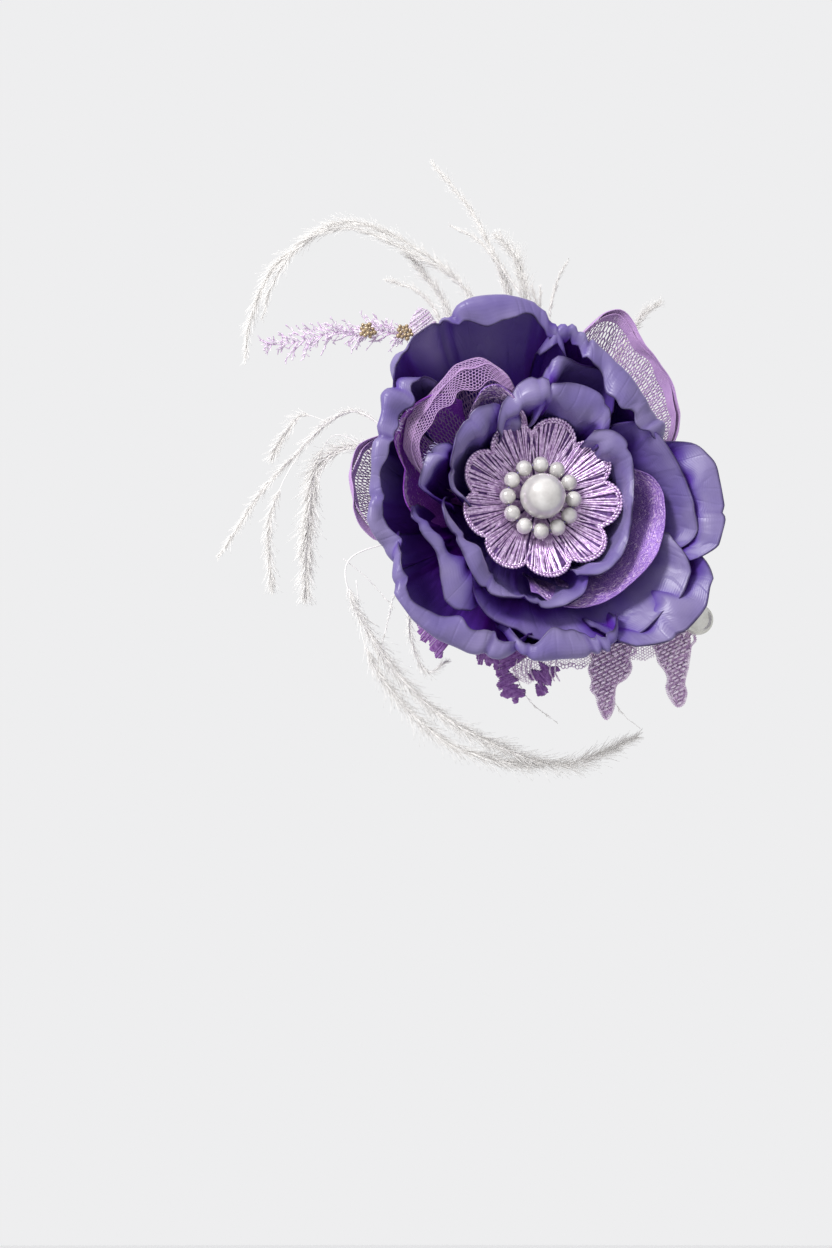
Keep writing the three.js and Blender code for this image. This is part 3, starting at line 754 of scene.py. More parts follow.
# Rows: angle round the flower, outline beyond the CAD rim, crest above it, wall slope at the crest, lip
# length, and how far the lip turns outwards; a negative turn rolls it in over the bowl.
SATIN_PETALS = {
    "satin_outer_top": [
        (80, -2.0, -3.0, 70, 2.5, -60),
        (86, 0.6, -0.2, 75, 3.5, -120),
        (94, 2.6, 1.0, 78, 5.2, -112),
        (106, 3.2, 1.2, 78, 6.6, -108),
        (115, 3.2, 1.0, 78, 6.8, -115),
        (120, 2.6, 0.6, 72, 3.0, -70),
        (130, 2.6, 0.2, 62, 2.5, -20),
        (141, 4.4, -0.5, 62, 3.5, -60),
        (150, 1.5, -2.5, 52, 3.0, -20),
    ],
    "satin_outer_left": [
        (135, -2.4, -4.0, 62, 3.0, 10),
        (142, 3.4, -1.4, 74, 4.4, -90),
        (149, 1.8, 0.4, 79, 6.8, -112),
        (157, -0.8, 0.8, 80, 6.6, -112),
        (166, -1.5, 0.2, 76, 3.6, -110),
        (177, -1.7, -0.6, 74, 2.8, -100),
        (188, 0.6, -1.4, 73, 4.2, -110),
        (196, 3.4, -2.2, 68, 5.0, -110),
        (203, 3.8, -2.6, 64, 4.0, -90),
        (209, 1.6, -4.6, 58, 3.0, -40),
    ],
    "satin_outer_lower_left": [
        (196, 0.4, -4.2, 58, 3.0, -40),
        (202, 2.8, -2.0, 63, 3.0, -80),
        (208, 3.2, -1.0, 67, 2.8, -100),
        (219, 2.6, -0.6, 72, 3.2, -112),
        (230, 1.6, -0.8, 75, 5.8, -115),
        (242, 0.3, -1.2, 76, 6.6, -112),
        (252, 0.4, -1.8, 74, 5.0, -112),
        (258, 0.4, -2.2, 70, 3.4, -90),
        (265, -0.8, -4.0, 60, 3.0, -40),
    ],
    "satin_outer_bottom": [
        (-109, -0.8, -4.5, 60, 3.0, -60),
        (-101, 1.4, -2.0, 73, 3.0, -112),
        (-93, 1.0, -1.2, 75, 5.0, -112),
        (-85, 0.0, -0.8, 78, 7.8, -112),
        (-77, 0.0, -1.0, 78, 6.4, -118),
        (-71, 0.2, -1.4, 76, 4.6, -140),
        (-64, 0.2, -2.2, 72, 3.2, -120),
        (-57, -2.0, -5.0, 58, 3.0, -50),
    ],
    "satin_outer_lower_right": [
        (-70, -3.0, -5.0, 60, 4.0, 0),
        (-62, -0.4, -2.4, 60, 5.5, 25),
        (-50, 1.4, -1.4, 58, 8.5, 45),
        (-38, 1.4, -1.4, 56, 9.0, 50),
        (-28, 0.6, -2.2, 58, 7.0, 35),
        (-20, 0.8, -3.0, 60, 5.0, 10),
        (-16, -1.0, -5.0, 62, 3.0, 0),
    ],
    "satin_outer_right": [
        (-25, -0.8, -5.0, 56, 4.0, 0),
        (-19, 1.0, -2.2, 55, 6.0, 30),
        (-9, 1.4, -0.8, 55, 7.6, 45),
        (3, 1.4, -0.8, 53, 8.0, 48),
        (15, 2.2, -1.6, 50, 8.0, 35),
        (21, 1.2, -2.2, 50, 6.5, 25),
        (26, -3.0, -4.0, 50, 5.0, 10),
    ],
    "satin_outer_upper_right": [
        (24, -1.5, -3.5, 60, 4.0, -40),
        (31, -1.4, -1.0, 69, 6.4, -100),
        (41, -3.6, 0.0, 74, 7.4, -105),
        (53, -3.0, 0.8, 76, 7.6, -108),
        (63, -2.6, 1.2, 78, 7.2, -112),
        (72, -2.2, 1.2, 78, 5.6, -120),
        (79, -1.8, 0.6, 78, 3.8, -160),
        (85, -0.8, 0.2, 76, 4.0, -130),
        (92, -3.8, -3.5, 66, 3.0, -60),
    ],
    "satin_middle_right": [
        (-21, 1.0, -3.0, 50, 4.0, 0),
        (-14, 1.4, -0.8, 48, 6.0, 8),
        (-4, -0.4, 0.2, 50, 6.5, 5),
        (8, -1.8, 0.8, 54, 6.5, 5),
        (22, -2.2, 1.4, 57, 6.5, 0),
        (36, -3.2, 1.5, 60, 6.0, 15),
        (47, -5.0, 0.0, 64, 4.0, 30),
    ],
    "satin_middle_bottom": [
        (-138, -4.0, -1.0, 55, 5.0, 20),
        (-128, -1.6, -0.6, 44, 7.0, 0),
        (-112, 0.4, -0.8, 38, 8.0, -8),
        (-92, 1.4, -1.2, 35, 8.0, -8),
        (-72, 2.6, -1.6, 32, 8.0, -8),
        (-57, 3.8, -1.4, 33, 8.5, -5),
        (-42, 2.6, -0.6, 36, 8.0, -10),
        (-29, 3.8, -0.6, 37, 8.0, 8),
        (-21, 3.6, -1.0, 38, 7.0, 15),
        (-14, 0.5, -2.5, 44, 5.0, 20),
    ],
    "satin_middle_left": [
        (184, -3.0, -7.0, 70, 1.5, 10),
        (187, -2.0, -1.6, 74, 2.2, 30),
        (192, -2.6, 1.0, 76, 2.6, 60),
        (200, -4.4, 1.2, 78, 2.8, 80),
        (212, -4.8, 1.0, 78, 4.4, 90),
        (221, -1.8, 0.8, 72, 8.0, 80),
        (228, 1.6, 0.4, 66, 10.6, 68),
        (234, 3.8, -0.4, 60, 11.6, 58),
        (238, 2.8, -2.0, 57, 9.2, 45),
        (240, -0.5, -4.0, 54, 6.4, 30),
    ],
    "satin_middle_upper_left": [
        (150, -8.0, -3.2, 74, 3.0, 10),
        (157, -7.0, 1.6, 78, 3.4, 80),
        (166, -7.0, 1.6, 78, 3.6, 95),
        (174, -6.4, 1.0, 78, 2.8, 70),
        (181, -6.6, 0.2, 76, 2.2, 45),
        (189, -8.0, -3.6, 72, 2.0, 10),
    ],
    "satin_middle_top": [
        (50, -0.5, -3.0, 62, 3.0, 10),
        (62, 0.0, -1.0, 66, 4.0, 0),
        (74, -0.2, 0.4, 70, 4.0, 0),
        (81, 0.8, 1.2, 74, 5.0, 30),
        (86, 0.4, 2.2, 80, 6.5, 90),
        (91, -1.8, 2.4, 82, 6.5, 105),
        (96, -5.0, 1.6, 80, 5.0, 100),
        (100, -7.0, 0.0, 78, 3.5, 60),
    ],
    "satin_inner_top": [
        (42, -1.6, -0.5, 80, 3.5, 60),
        (50, 0.0, 1.0, 78, 5.0, 75),
        (60, 1.0, 1.6, 76, 7.0, 62),
        (70, 0.8, 1.8, 76, 7.2, 66),
        (79, 0.2, 2.0, 78, 6.4, 80),
        (87, -0.8, 2.4, 82, 4.6, 110),
        (94, 0.6, 2.8, 82, 5.6, 120),
        (102, 0.4, 2.6, 82, 6.4, 100),
        (111, -1.2, 2.0, 82, 5.4, 95),
        (120, -2.6, 1.4, 82, 4.0, 90),
        (129, -4.0, 0.0, 80, 3.0, 60),
    ],
    "satin_inner_left": [
        (108, -2.0, -1.0, 76, 3.0, 40),
        (118, -0.6, 1.0, 78, 5.4, 70),
        (130, -0.8, 1.6, 78, 6.2, 72),
        (143, -1.8, 1.8, 80, 5.4, 72),
        (155, -2.8, 1.6, 82, 3.4, 60),
        (166, -2.6, 1.2, 82, 2.2, 45),
        (178, -2.4, 0.4, 80, 2.0, 40),
        (187, -3.4, -1.2, 80, 2.0, 30),
        (192, -5.0, -7.0, 80, 1.4, 10),
    ],
    "satin_inner_bottom": [
        (181, -1.4, -7.0, 76, 1.4, 10),
        (185, 0.0, -2.0, 78, 2.0, 20),
        (190, 0.2, 0.4, 78, 2.2, 30),
        (195, -0.4, 0.8, 80, 2.2, 40),
        (204, -1.6, 0.8, 80, 3.0, 60),
        (217, -1.8, 0.8, 78, 4.6, 72),
        (230, -0.6, 0.6, 76, 6.0, 75),
        (243, 0.0, -0.2, 76, 4.8, 62),
        (252, -0.8, -1.0, 80, 2.6, 40),
        (262, -1.2, -1.4, 80, 2.2, 30),
        (274, -0.6, -1.8, 80, 3.0, 45),
        (284, 0.2, -1.8, 76, 4.2, 55),
        (295, 0.2, -2.2, 76, 3.6, 40),
        (303, -1.8, -3.5, 74, 3.0, 30),
    ],
    "satin_inner_right": [
        (-68, -1.0, -2.0, 78, 3.0, 40),
        (-55, -0.2, -1.2, 78, 4.4, 55),
        (-42, -1.0, -1.0, 80, 3.6, 50),
        (-26, -2.4, -1.2, 84, 2.6, 45),
        (-8, -2.8, -0.8, 84, 2.2, 50),
        (10, -2.6, -0.4, 84, 2.4, 55),
        (26, -1.4, 0.2, 80, 4.0, 60),
        (38, -0.4, 0.8, 78, 5.6, 66),
        (47, -0.8, 0.8, 78, 5.0, 60),
        (53, -1.6, 0.2, 78, 4.0, 50),
    ],
}

# Tucks: angle, half-width in degrees and how deep the outline is pinched there.
TUCKS = {
    "satin_outer_top": [(89, 1.2, 1.2), (92, 0.8, 0.8), (119, 1.3, 1.0), (124, 0.9, 0.7), (136, 1.8, 0.9)],
    "satin_outer_left": [(147, 1.2, 0.9), (164, 1.6, 1.1), (184, 1.2, 0.6)],
    "satin_outer_lower_left": [(213, 1.5, 0.9), (249, 1.4, 1.0)],
    "satin_outer_bottom": [(-97, 1.3, 0.8), (-74, 0.9, 1.1), (-70, 0.8, 0.9), (-66, 0.8, 1.0)],
    "satin_outer_lower_right": [(-46, 1.4, 0.6)],
    "satin_outer_right": [(-4, 1.2, 0.6)],
    "satin_outer_upper_right": [(35, 1.8, 0.8), (75, 0.9, 1.2), (79, 0.8, 0.8), (83, 0.9, 1.0)],
    "satin_middle_right": [(31, 1.5, 0.4)],
    "satin_middle_bottom": [(-102, 3.0, 0.4)],
    "satin_middle_left": [(196, 1.6, 0.7)],
    "satin_middle_upper_left": [(163, 1.4, 0.8)],
    "satin_middle_top": [(88, 1.4, 0.8)],
    "satin_inner_top": [(57, 1.2, 0.6), (89, 1.2, 1.1), (95, 1.0, 0.9), (110, 1.6, 0.5)],
    "satin_inner_left": [(140, 1.4, 0.6), (170, 1.2, 0.8)],
    "satin_inner_bottom": [(207, 1.6, 0.7), (238, 1.6, 0.9), (258, 1.4, 0.7), (266, 1.2, 0.6)],
    "satin_inner_right": [(30, 1.6, 0.5)],
}
# How much painted shade a petal's wall gets towards its foot, where it isn't 1.
WALL_SHADE = {
    "satin_outer_top": 0.85,
    "satin_outer_upper_right": 0.6,
    "satin_outer_right": 0.6,
    "satin_outer_lower_right": 0.6,
    "satin_middle_right": 0.7,
    "satin_middle_top": 0.5,
    "satin_outer_left": 0.85,
    "satin_outer_lower_left": 0.85,
}
# How little the smaller petals ruffle.
CALM = {"ruffle": 0.28, "wave": 0.75}


# How far cloth counts as close in a fold, in millimetres, and what folds and walls add to a petal's painted
# shade.
FOLD_REACH = 14.0
FOLD_RAYS = 32
FOLD_WEIGHT = 0.8
DEPTH_WEIGHT = 0.55
FRAYED = {"satin_outer_left": (150, 161), "satin_middle_upper_left": (158, 168)}


def fray(node, grid, first, last):
    """Loose threads on a petal's free edge between two angles."""
    rng = np.random.default_rng(17)
    edge, before = grid[:, -1], grid[:, -3]
    angle = np.degrees(np.arctan2(edge[:, 1], edge[:, 0])) % 360
    at = np.repeat(np.flatnonzero((angle > first) & (angle < last)), 3)
    step = rng.uniform(0, 1, len(at))[:, None]
    root = edge[at] + (edge[np.minimum(at + 1, len(edge) - 1)] - edge[at]) * step
    heading = unit(edge[at] - before[at]) + rng.normal(0, 0.2, (len(at), 3))
    t = np.linspace(0, 1, 5)[None, :, None]
    reach = rng.uniform(0.5, 1.2, len(at))[:, None, None]
    curl = rng.normal(0, 0.2, (len(at), 1, 3))
    paths = root[:, None] - 0.2 * heading[:, None] + reach * (heading[:, None] * t + curl * t**2)
    place(add_mesh(node + "_fray", *tubes(paths, 0.04, 4), LOOSE_THREAD))


def ray_fan(count):
    """Directions spread over the half space above z, closer together near z."""
    index = np.arange(count) + 0.5
    high = np.sqrt(1 - index / count)
    flat, turn = np.sqrt(1 - high**2), index * math.pi * (3 - math.sqrt(5))
    return np.stack([flat * np.cos(turn), flat * np.sin(turn), high], axis=1)


def hidden_share(points, normals, tree, rng):
    """How much of the space in front of each point is hidden by cloth close to it, from 0 to 1."""
    fan = ray_fan(FOLD_RAYS)
    side = unit(np.cross(normals, (0.31, 0.22, 0.93)))
    across = np.cross(normals, side)
    spin = rng.uniform(0, 2 * np.pi, (len(points), 1, 1))
    x, y, z = fan[:, :1], fan[:, 1:2], fan[:, 2:]
    side, across, normals = side[:, None], across[:, None], normals[:, None]
    rays = side * (x * np.cos(spin) - y * np.sin(spin)) + across * (x * np.sin(spin) + y * np.cos(spin))
    rays = rays + normals * z
    hidden = np.zeros(len(points))
    for number, (start, fan_here) in enumerate(zip(points.tolist(), rays.tolist())):
        origin = Vector(start)
        for ray in fan_here:
            distance = tree.ray_cast(origin, Vector(ray), FOLD_REACH)[3]
            if distance is not None:
                hidden[number] += 1 - 0.5 * distance / FOLD_REACH
    return hidden / FOLD_RAYS


def unit_grid(columns, rows):
    """Shares along and up a grid, with so many columns and rows."""
    return np.meshgrid(np.linspace(0, 1, columns), np.linspace(0, 1, rows), indexing="ij")


def neighbour_mean(values):
    """Each value's mean with its eight neighbours."""
    padded = np.pad(values, 1, mode="edge")
    return sum(np.roll(padded, (i, j), (0, 1)) for i in (-1, 0, 1) for j in (-1, 0, 1))[1:-1, 1:-1] / 9


def shade_folds(petals):
    """Paints shade into each petal: stores how much close cloth hides each point, with the wall's and
    creases' painted shade, as the painted shade that darkens its colour.
    """
    points, faces = merge([(petal["points"], petal["faces"]) for petal in petals])
    tree = BVHTree.FromPolygons(points.tolist(), faces)
    rng = np.random.default_rng(41)
    for petal in petals:
        grid = petal["grid"]
        columns, rows = grid.shape[:2]
        u, v = unit_grid(columns // 2, rows // 2)
        both = []
        for hand in (1, -1):
            normal = unit(on_grid(grid_normals(grid), u, v)) * hand
            start = on_grid(grid, u, v) + normal * (CLOTH / 2 + EDGE_BEAD + 0.15)
            hidden = hidden_share(start.reshape(-1, 3), normal.reshape(-1, 3), tree, rng).reshape(u.shape)
            fine = on_grid(neighbour_mean(hidden)[..., None], *unit_grid(columns, rows))[..., 0]
            # Painted shade: hidden points and the wall's stored shade darken the cloth.
            deep = FOLD_WEIGHT * fine + DEPTH_WEIGHT * np.minimum(petal["depth"], 1)
            both.append(np.clip(deep, 0, 1).ravel())
        add_attribute(petal["piece"], "depth", np.concatenate(both))


def make_petals():
    """All the satin petals."""
    petals = []
    for number, (node, keys) in enumerate(SATIN_PETALS.items()):
        shape = {} if node.startswith("satin_outer") else CALM
        petals.append(satin_petal(node, keys, 10 * number + 3, **shape))
        if node in FRAYED:
            fray(node, petals[-1]["grid"], *FRAYED[node])
    shade_folds(petals)


# ---------------------------------------------------------------- net petals
NET_KEYS = {
    "net_inner_upper_left": [
        (102, -3.0, -4.0, 66, 3.0, -40),
        (106, 0.8, -0.2, 66, 5.0, -100),
        (112, 3.0, 1.0, 66, 7.4, -110),
        (124, 3.0, 1.2, 65, 7.8, -110),
        (134, 1.8, 1.0, 61, 7.4, -110),
        (144, 1.6, 0.6, 59, 6.8, -105),
        (154, 2.2, -0.2, 65, 5.4, -100),
        (164, 2.2, -1.4, 66, 4.0, -90),
        (171, 0.6, -3.4, 64, 3.0, -60),
    ],
    "net_outer_upper_right": [
        (19, -3.0, -2.5, 44, 2.0, 0),
        (26, 0.8, -0.6, 46, 2.2, -20),
        (38, 1.2, 0.2, 48, 2.2, -25),
        (50, 0.8, 0.6, 50, 2.2, -25),
        (60, 1.2, 0.8, 50, 2.2, -25),
        (67, 4.4, 1.2, 50, 2.2, -25),
        (73, 2.0, 0.6, 48, 2.2, -25),
        (81, -2.4, -1.5, 44, 2.0, 0),
    ],
    "net_outer_left": [
        (152, -0.5, -2.5, 46, 2.0, 0),
        (158, 1.2, -0.5, 50, 2.2, -25),
        (168, 1.6, 0.2, 52, 2.2, -30),
        (180, 1.0, 0.2, 52, 2.2, -30),
        (190, -0.6, -0.4, 50, 2.2, -25),
        (197, -3.4, -2.0, 46, 2.0, 0),
        (202, -6.0, -4.0, 44, 2.0, 0),
    ],
}
ORGANZA_KEYS = {
    "net_inner_lower_right": [
        (-96, -2.0, -5.0, 45, 3.0, 0),
        (-80, -0.8, -3.0, 43, 3.0, 0),
        (-60, -0.8, -2.0, 42, 4.0, 0),
        (-42, -0.8, -1.0, 42, 4.0, 0),
        (-22, -0.4, -0.6, 45, 4.0, 0),
        (-4, 0.2, -1.0, 50, 3.4, 0),
        (12, 0.2, -2.0, 50, 3.4, 0),
        (24, -2.6, -3.5, 55, 3.0, 0),
    ],
    "net_inner_upper_left": [
        (130, -4.5, -5.0, 66, 3.0, 0),
        (138, 0.4, -1.4, 66, 3.5, 0),
        (148, 3.0, -1.2, 66, 3.5, 0),
        (160, 4.8, -1.2, 66, 3.5, 0),
        (174, 5.2, -1.6, 66, 3.5, 0),
        (186, 4.6, -3.0, 64, 3.5, 0),
        (196, 1.6, -6.0, 58, 3.0, 0),
    ],
}
DASHED_KEYS = [
    (100, -8.5, -4.0, 60, 2.0, 0),
    (107, -5.4, 1.0, 58, 3.0, 0),
    (115, -4.2, 3.0, 56, 4.0, -10),
    (123, -4.6, 2.6, 56, 4.0, -10),
    (130, -6.6, 0.0, 60, 3.0, 0),
    (135, -8.5, -4.0, 64, 2.0, 0),
]
COARSE_CELL, FOLD_CELL, FINE_CELL = 1.2, 1.0, 0.8
NET_THREAD = 0.12
ORGANZA_THICK, ORGANZA_EDGE = 0.16, 0.04


def on_grid(grid, u, v):
    """Points on a grid at shares u along it and v up it."""
    columns, rows = grid.shape[:2]
    x, y = np.clip(u, 0, 1) * (columns - 1), np.clip(v, 0, 1) * (rows - 1)
    i, j = np.minimum(x.astype(int), columns - 2), np.minimum(y.astype(int), rows - 2)
    fx, fy = (x - i)[..., None], (y - j)[..., None]
    near = grid[i, j] * (1 - fx) + grid[i + 1, j] * fx
    far = grid[i, j + 1] * (1 - fx) + grid[i + 1, j + 1] * fx
    return near * (1 - fy) + far * fy


def honeycomb(width, height, cell):
    """Corners of a honeycomb that fills a width by height patch, and its six-sided faces."""
    side = cell / math.sqrt(3)
    turn = np.radians(60 * np.arange(6) + 30)
    corner = np.stack([side * np.cos(turn), side * np.sin(turn)], axis=1)
    points, faces, seen = [], [], {}
    for row in range(int(height / (1.5 * side)) + 1):
        for column in range(int(width / cell) + 1):
            centre = np.array([(column + 0.5 * (row % 2)) * cell, row * 1.5 * side])
            face = []
            for x, y in centre + corner:
                key = (round(x / side * 4), round(y / side * 4))
                if key not in seen:
                    seen[key] = len(points)
                    points.append((x, y))
                face.append(seen[key])
            faces.append(face)
    return np.array(points), faces


def net_cloth(name, grid, cell):
    """Real net: a honeycomb of threads over a grid."""
    width, height = grid_size(grid)
    flat, faces = honeycomb(width, height, cell)
    points = on_grid(grid, flat[:, 0] / width, flat[:, 1] / height)
    obj = add_mesh(name, points, faces, NET)
    wire = obj.modifiers.new("threads", "WIREFRAME")
    wire.thickness = 2 * NET_THREAD * MM
    wire.use_even_offset = False
    wire.use_boundary = True
    bpy.context.view_layer.update()
    depsgraph = bpy.context.evaluated_depsgraph_get()
    woven = bpy.data.meshes.new_from_object(obj.evaluated_get(depsgraph))
    obj.modifiers.clear()
    obj.data = woven
    return obj


def dashes(grid, count, length, radius, seed, slant):
    """Short metallic stitches strewn over a grid."""
    rng = np.random.default_rng(seed)
    width, height = grid_size(grid)
    u, v = rng.uniform(0.03, 0.97, count), rng.uniform(0.35, 0.98, count)
    heading = slant + rng.normal(0, 0.25, count)
    half = 0.5 * length * rng.uniform(0.6, 1.2, count)
    t = np.linspace(-1, 1, 4)
    us = u[:, None] + (half * np.cos(heading) / width)[:, None] * t
    vs = v[:, None] + (half * np.sin(heading) / height)[:, None] * t
    paths = on_grid(grid, us, vs)
    lift = on_grid(grid_normals(grid), us, vs) * radius
    return tubes(paths - lift, radius * (1 - 0.5 * t**2), 4)


def tulle(name, node, keys, seed, wave, cell, nodes=()):
    """One layer of a net petal."""
    grid, _ = petal_grid(node, keys, seed, wave=wave, ruffle=0.2)
    obj = net_cloth(name, grid, cell)
    place(obj, nodes=nodes)


def organza(name, node, keys, seed, wave, material, nodes=()):
    """A piece of whole organza; returns its grid."""
    grid, _ = petal_grid(node, keys, seed, wave=wave, ruffle=0.2)
    obj = add_mesh(name, *cloth_shell(grid, ORGANZA_THICK, ORGANZA_EDGE)[:2], material)
    finish_cloth(obj, grid, nodes)
    return grid


def make_nets():
    """Net petals of two layers each, and the glittered organza that lies inside with two of them."""
    for number, (node, keys) in enumerate(NET_KEYS.items()):
        wave, cell = (0.4, COARSE_CELL) if node.startswith("net_inner") else (0.7, FINE_CELL)
        tulle(node + "_tulle", node, keys, 300 + 10 * number, wave, cell, [node])
        inside = [np.array(row) * (1, 1, 1, 1, 1, 0.5) - (0, 0.7, 0.4, 2, 0, 0) for row in keys]
        tulle(node + "_fold", node, inside, 330 + 10 * number, 0.7, FOLD_CELL)
    for number, (node, keys) in enumerate(ORGANZA_KEYS.items()):
        # The upper left organza takes the brighter copy, painted light against its shade.
        material = ORGANZA if node.endswith("right") else ORGANZA_PAINTED_LIGHT
        grid = organza(node + "_organza", node, keys, 360 + 10 * number, 0.4, material, [node])
        flecks = dashes(grid, 900, 0.8, 0.07, 380 + number, 0.2)
        place(add_mesh(node + "_glitter", *flecks, THREAD))
    node = "net_inner_upper_left"
    grid = organza(node + "_patch", node, DASHED_KEYS, 395, 0.5, ORGANZA)
    flecks = dashes(grid, 420, 1.7, 0.16, 398, 0.7)
    place(add_mesh(node + "_dashes", *flecks, THREAD))


# ---------------------------------------------------------------- middle of the flower
LOBES = 9
STITCHES_PER_LOBE = 15
NOTCH = 3.4
LOBE_TURN = 0.30


def lobe_swell(angle):
    """1 along a lobe's middle, 0 in the notch between two lobes."""
    return np.abs(np.sin(LOBES * (angle - LOBE_TURN) / 2)) ** 0.6


def lobe_reach(angle, radius):
    """The lobed outline's reach at an angle."""
    wobble = 0.35 * np.sin(2 * angle + 0.7) + 0.25 * np.sin(5 * angle)
    return radius - 0.4 + 0.5 * wobble - NOTCH * (1 - lobe_swell(angle))


def lobed_cup(reach, angle, low, rise, radius):
    """Height of the shallow cup, with each lobe curling up at its rim."""
    share = reach / radius
    curl = 0.9 * np.clip(share - 0.45, 0, 1) * (lobe_swell(angle) - 0.6) * 2
    return low + rise * share**2 * 0.9 + curl


def fan_of_stitches(count, inner, outer, radius, cup, lift, seed, twist=0.03):
    """Threads from an inner reach to an outer one over the cup, fanned within each lobe."""
    rng = np.random.default_rng(seed)
    angle = 2 * np.pi * (np.arange(count) + rng.uniform(-0.25, 0.25, count)) / count
    lobe = LOBE_TURN + (np.floor((angle - LOBE_TURN) * LOBES / (2 * np.pi)) + 0.5) * 2 * np.pi / LOBES
    along = np.linspace(0, 1, 14)
    start, end = inner(angle, rng), outer(angle, rng)
    reach = start[:, None] + (end - start)[:, None] * along
    gather = 0.3 * (lobe - angle)[:, None] * (1 - along) ** 2
    lean = rng.normal(0, twist, count)[:, None] * along
    heading = angle[:, None] + gather + lean
    height = cup(reach, heading)
    height = height + lift * (0.4 + rng.uniform(0, 0.9, count)[:, None]) * np.sin(np.pi * along) ** 0.4
    paths = polar(reach, heading, height)
    thick = radius * rng.uniform(0.8, 1.2, count)[:, None] * (0.65 + 0.45 * along)
    return tubes(paths, thick, 6)


def make_thread_flower():
    """The embroidered cup: three fans of stitches, two cords round its edge and its ground."""
    node = "thread_flower"
    low, high = cad_box(node)
    radius = max(high[0], -low[0], high[1], -low[1])
    rise, base = high[2] - low[2] - 1.0, low[2] + 1.0

    def cup(reach, angle):
        return lobed_cup(reach, angle, base, rise, radius)

    def near_edge(angle, rng):
        return lobe_reach(angle, radius) - rng.uniform(0.0, 0.4, len(angle))

    def half_way(angle, rng):
        return lobe_reach(angle, radius) * rng.uniform(0.5, 0.85, len(angle))

    count = LOBES * STITCHES_PER_LOBE
    parts = [
        fan_of_stitches(count, lambda a, r: r.uniform(5, 6.5, len(a)), near_edge, 0.25, cup, 0.45, 41),
        fan_of_stitches(count, lambda a, r: r.uniform(7, 11, len(a)), near_edge, 0.17, cup, 0.2, 42, 0.04),
        fan_of_stitches(130, lambda a, r: np.full(len(a), 3.0), half_way, 0.24, cup, 0.4, 43),
    ]
    turn = np.linspace(0, 2 * np.pi, 901)  # right round, both ends of the cord together
    for inset, thick, wiggle in ((0.0, 0.32, 0.14), (0.6, 0.25, 0.18)):
        edge = lobe_reach(turn, radius) - inset + wiggle * np.sin(turn * 150)
        line = polar(edge, turn, cup(edge, turn) + 0.25 + 0.14 * np.cos(turn * 150))
        parts.append(tubes([line], thick, 6))
    obj = add_mesh(node + "_stitches", *merge(parts), THREAD)
    place(obj, nodes=[node])
    place(lobed_ground(radius, cup))


def lobed_ground(radius, cup):
    """The dark cloth under the stitches."""
    rings = np.linspace(0.05, 0.97, 14)
    turn = np.linspace(0, 2 * np.pi, 361)[:-1]
    reach = lobe_reach(turn, radius)[:, None] * rings
    top = cup(reach, turn[:, None]) - 0.05
    ground = polar(reach, turn[:, None], top)
    under = polar(reach, turn[:, None], top - 0.4)
    return add_mesh("thread_flower_ground", *washer(ground, under), THREAD_GROUND)


CORE_COLUMNS, CORE_ROWS = 180, 24
CORE_GATHERS = 24


def make_core():
    """The gathered satin stub that carries the middle."""
    node = "satin_core"
    low, high = cad_box(node)
    radius, top, foot = high[0], high[2], low[2]
    turn = np.linspace(0, 2 * np.pi, CORE_COLUMNS + 1)[:-1]
    share = np.linspace(0, 1, CORE_ROWS)
    reach = radius * np.interp(share, (0, 0.08, 0.2, 0.7, 0.9, 1), (0.02, 0.8, 0.9, 0.97, 0.75, 0.02))
    height = np.interp(share, (0, 0.08, 0.7, 0.9, 1), (foot, foot, top - 1.4, top - 0.2, top))
    gathers = 1 + 0.035 * np.sin(CORE_GATHERS * turn) + 0.02 * np.sin(7 * turn + 1)
    grid = polar(reach[None, :] * gathers[:, None], turn[:, None], height)
    index = np.arange(CORE_COLUMNS * CORE_ROWS).reshape(CORE_COLUMNS, CORE_ROWS)
    a, b = index, np.roll(index, -1, 0)
    faces = np.stack([a[:, :-1], b[:, :-1], b[:, 1:], a[:, 1:]], axis=-1).reshape(-1, 4).tolist()
    faces += [index[::-1, 0].tolist(), index[:, -1].tolist()]
    obj = add_mesh(node + "_gathered", grid.reshape(-1, 3), faces, SATIN)
    # Painted shade: the whole stub is coloured as cloth deep in a fold, with no sealed edges.
    add_attribute(obj, "depth", np.full(len(obj.data.vertices), 0.7))
    add_attribute(obj, "singe_and_shade", np.zeros(len(obj.data.vertices)))
    place(obj, nodes=[node])


def ball(centre, radius, segments, rings):
    """A fine closed ball: points and faces."""
    around = circle(segments)
    down = np.pi * np.arange(1, rings) / rings
    body = polar(np.sin(down)[:, None], around, np.cos(down)[:, None]).reshape(-1, 3)
    points = np.concatenate([[[0, 0, 1]], body, [[0, 0, -1]]]) * radius + centre
    index = (1 + np.arange((rings - 1) * segments).reshape(rings - 1, segments)).tolist()
    faces = []
    for j in range(segments):
        k = (j + 1) % segments
        faces.append([0, index[0][j], index[0][k]])
        faces.append([len(points) - 1, index[-1][k], index[-1][j]])
        faces += [[upper[j], lower[j], lower[k], upper[k]] for upper, lower in zip(index, index[1:])]
    return points, faces


PEARL_BORE = 0.5
BORED_SIDES = 40
STRING_RADIUS = 0.15


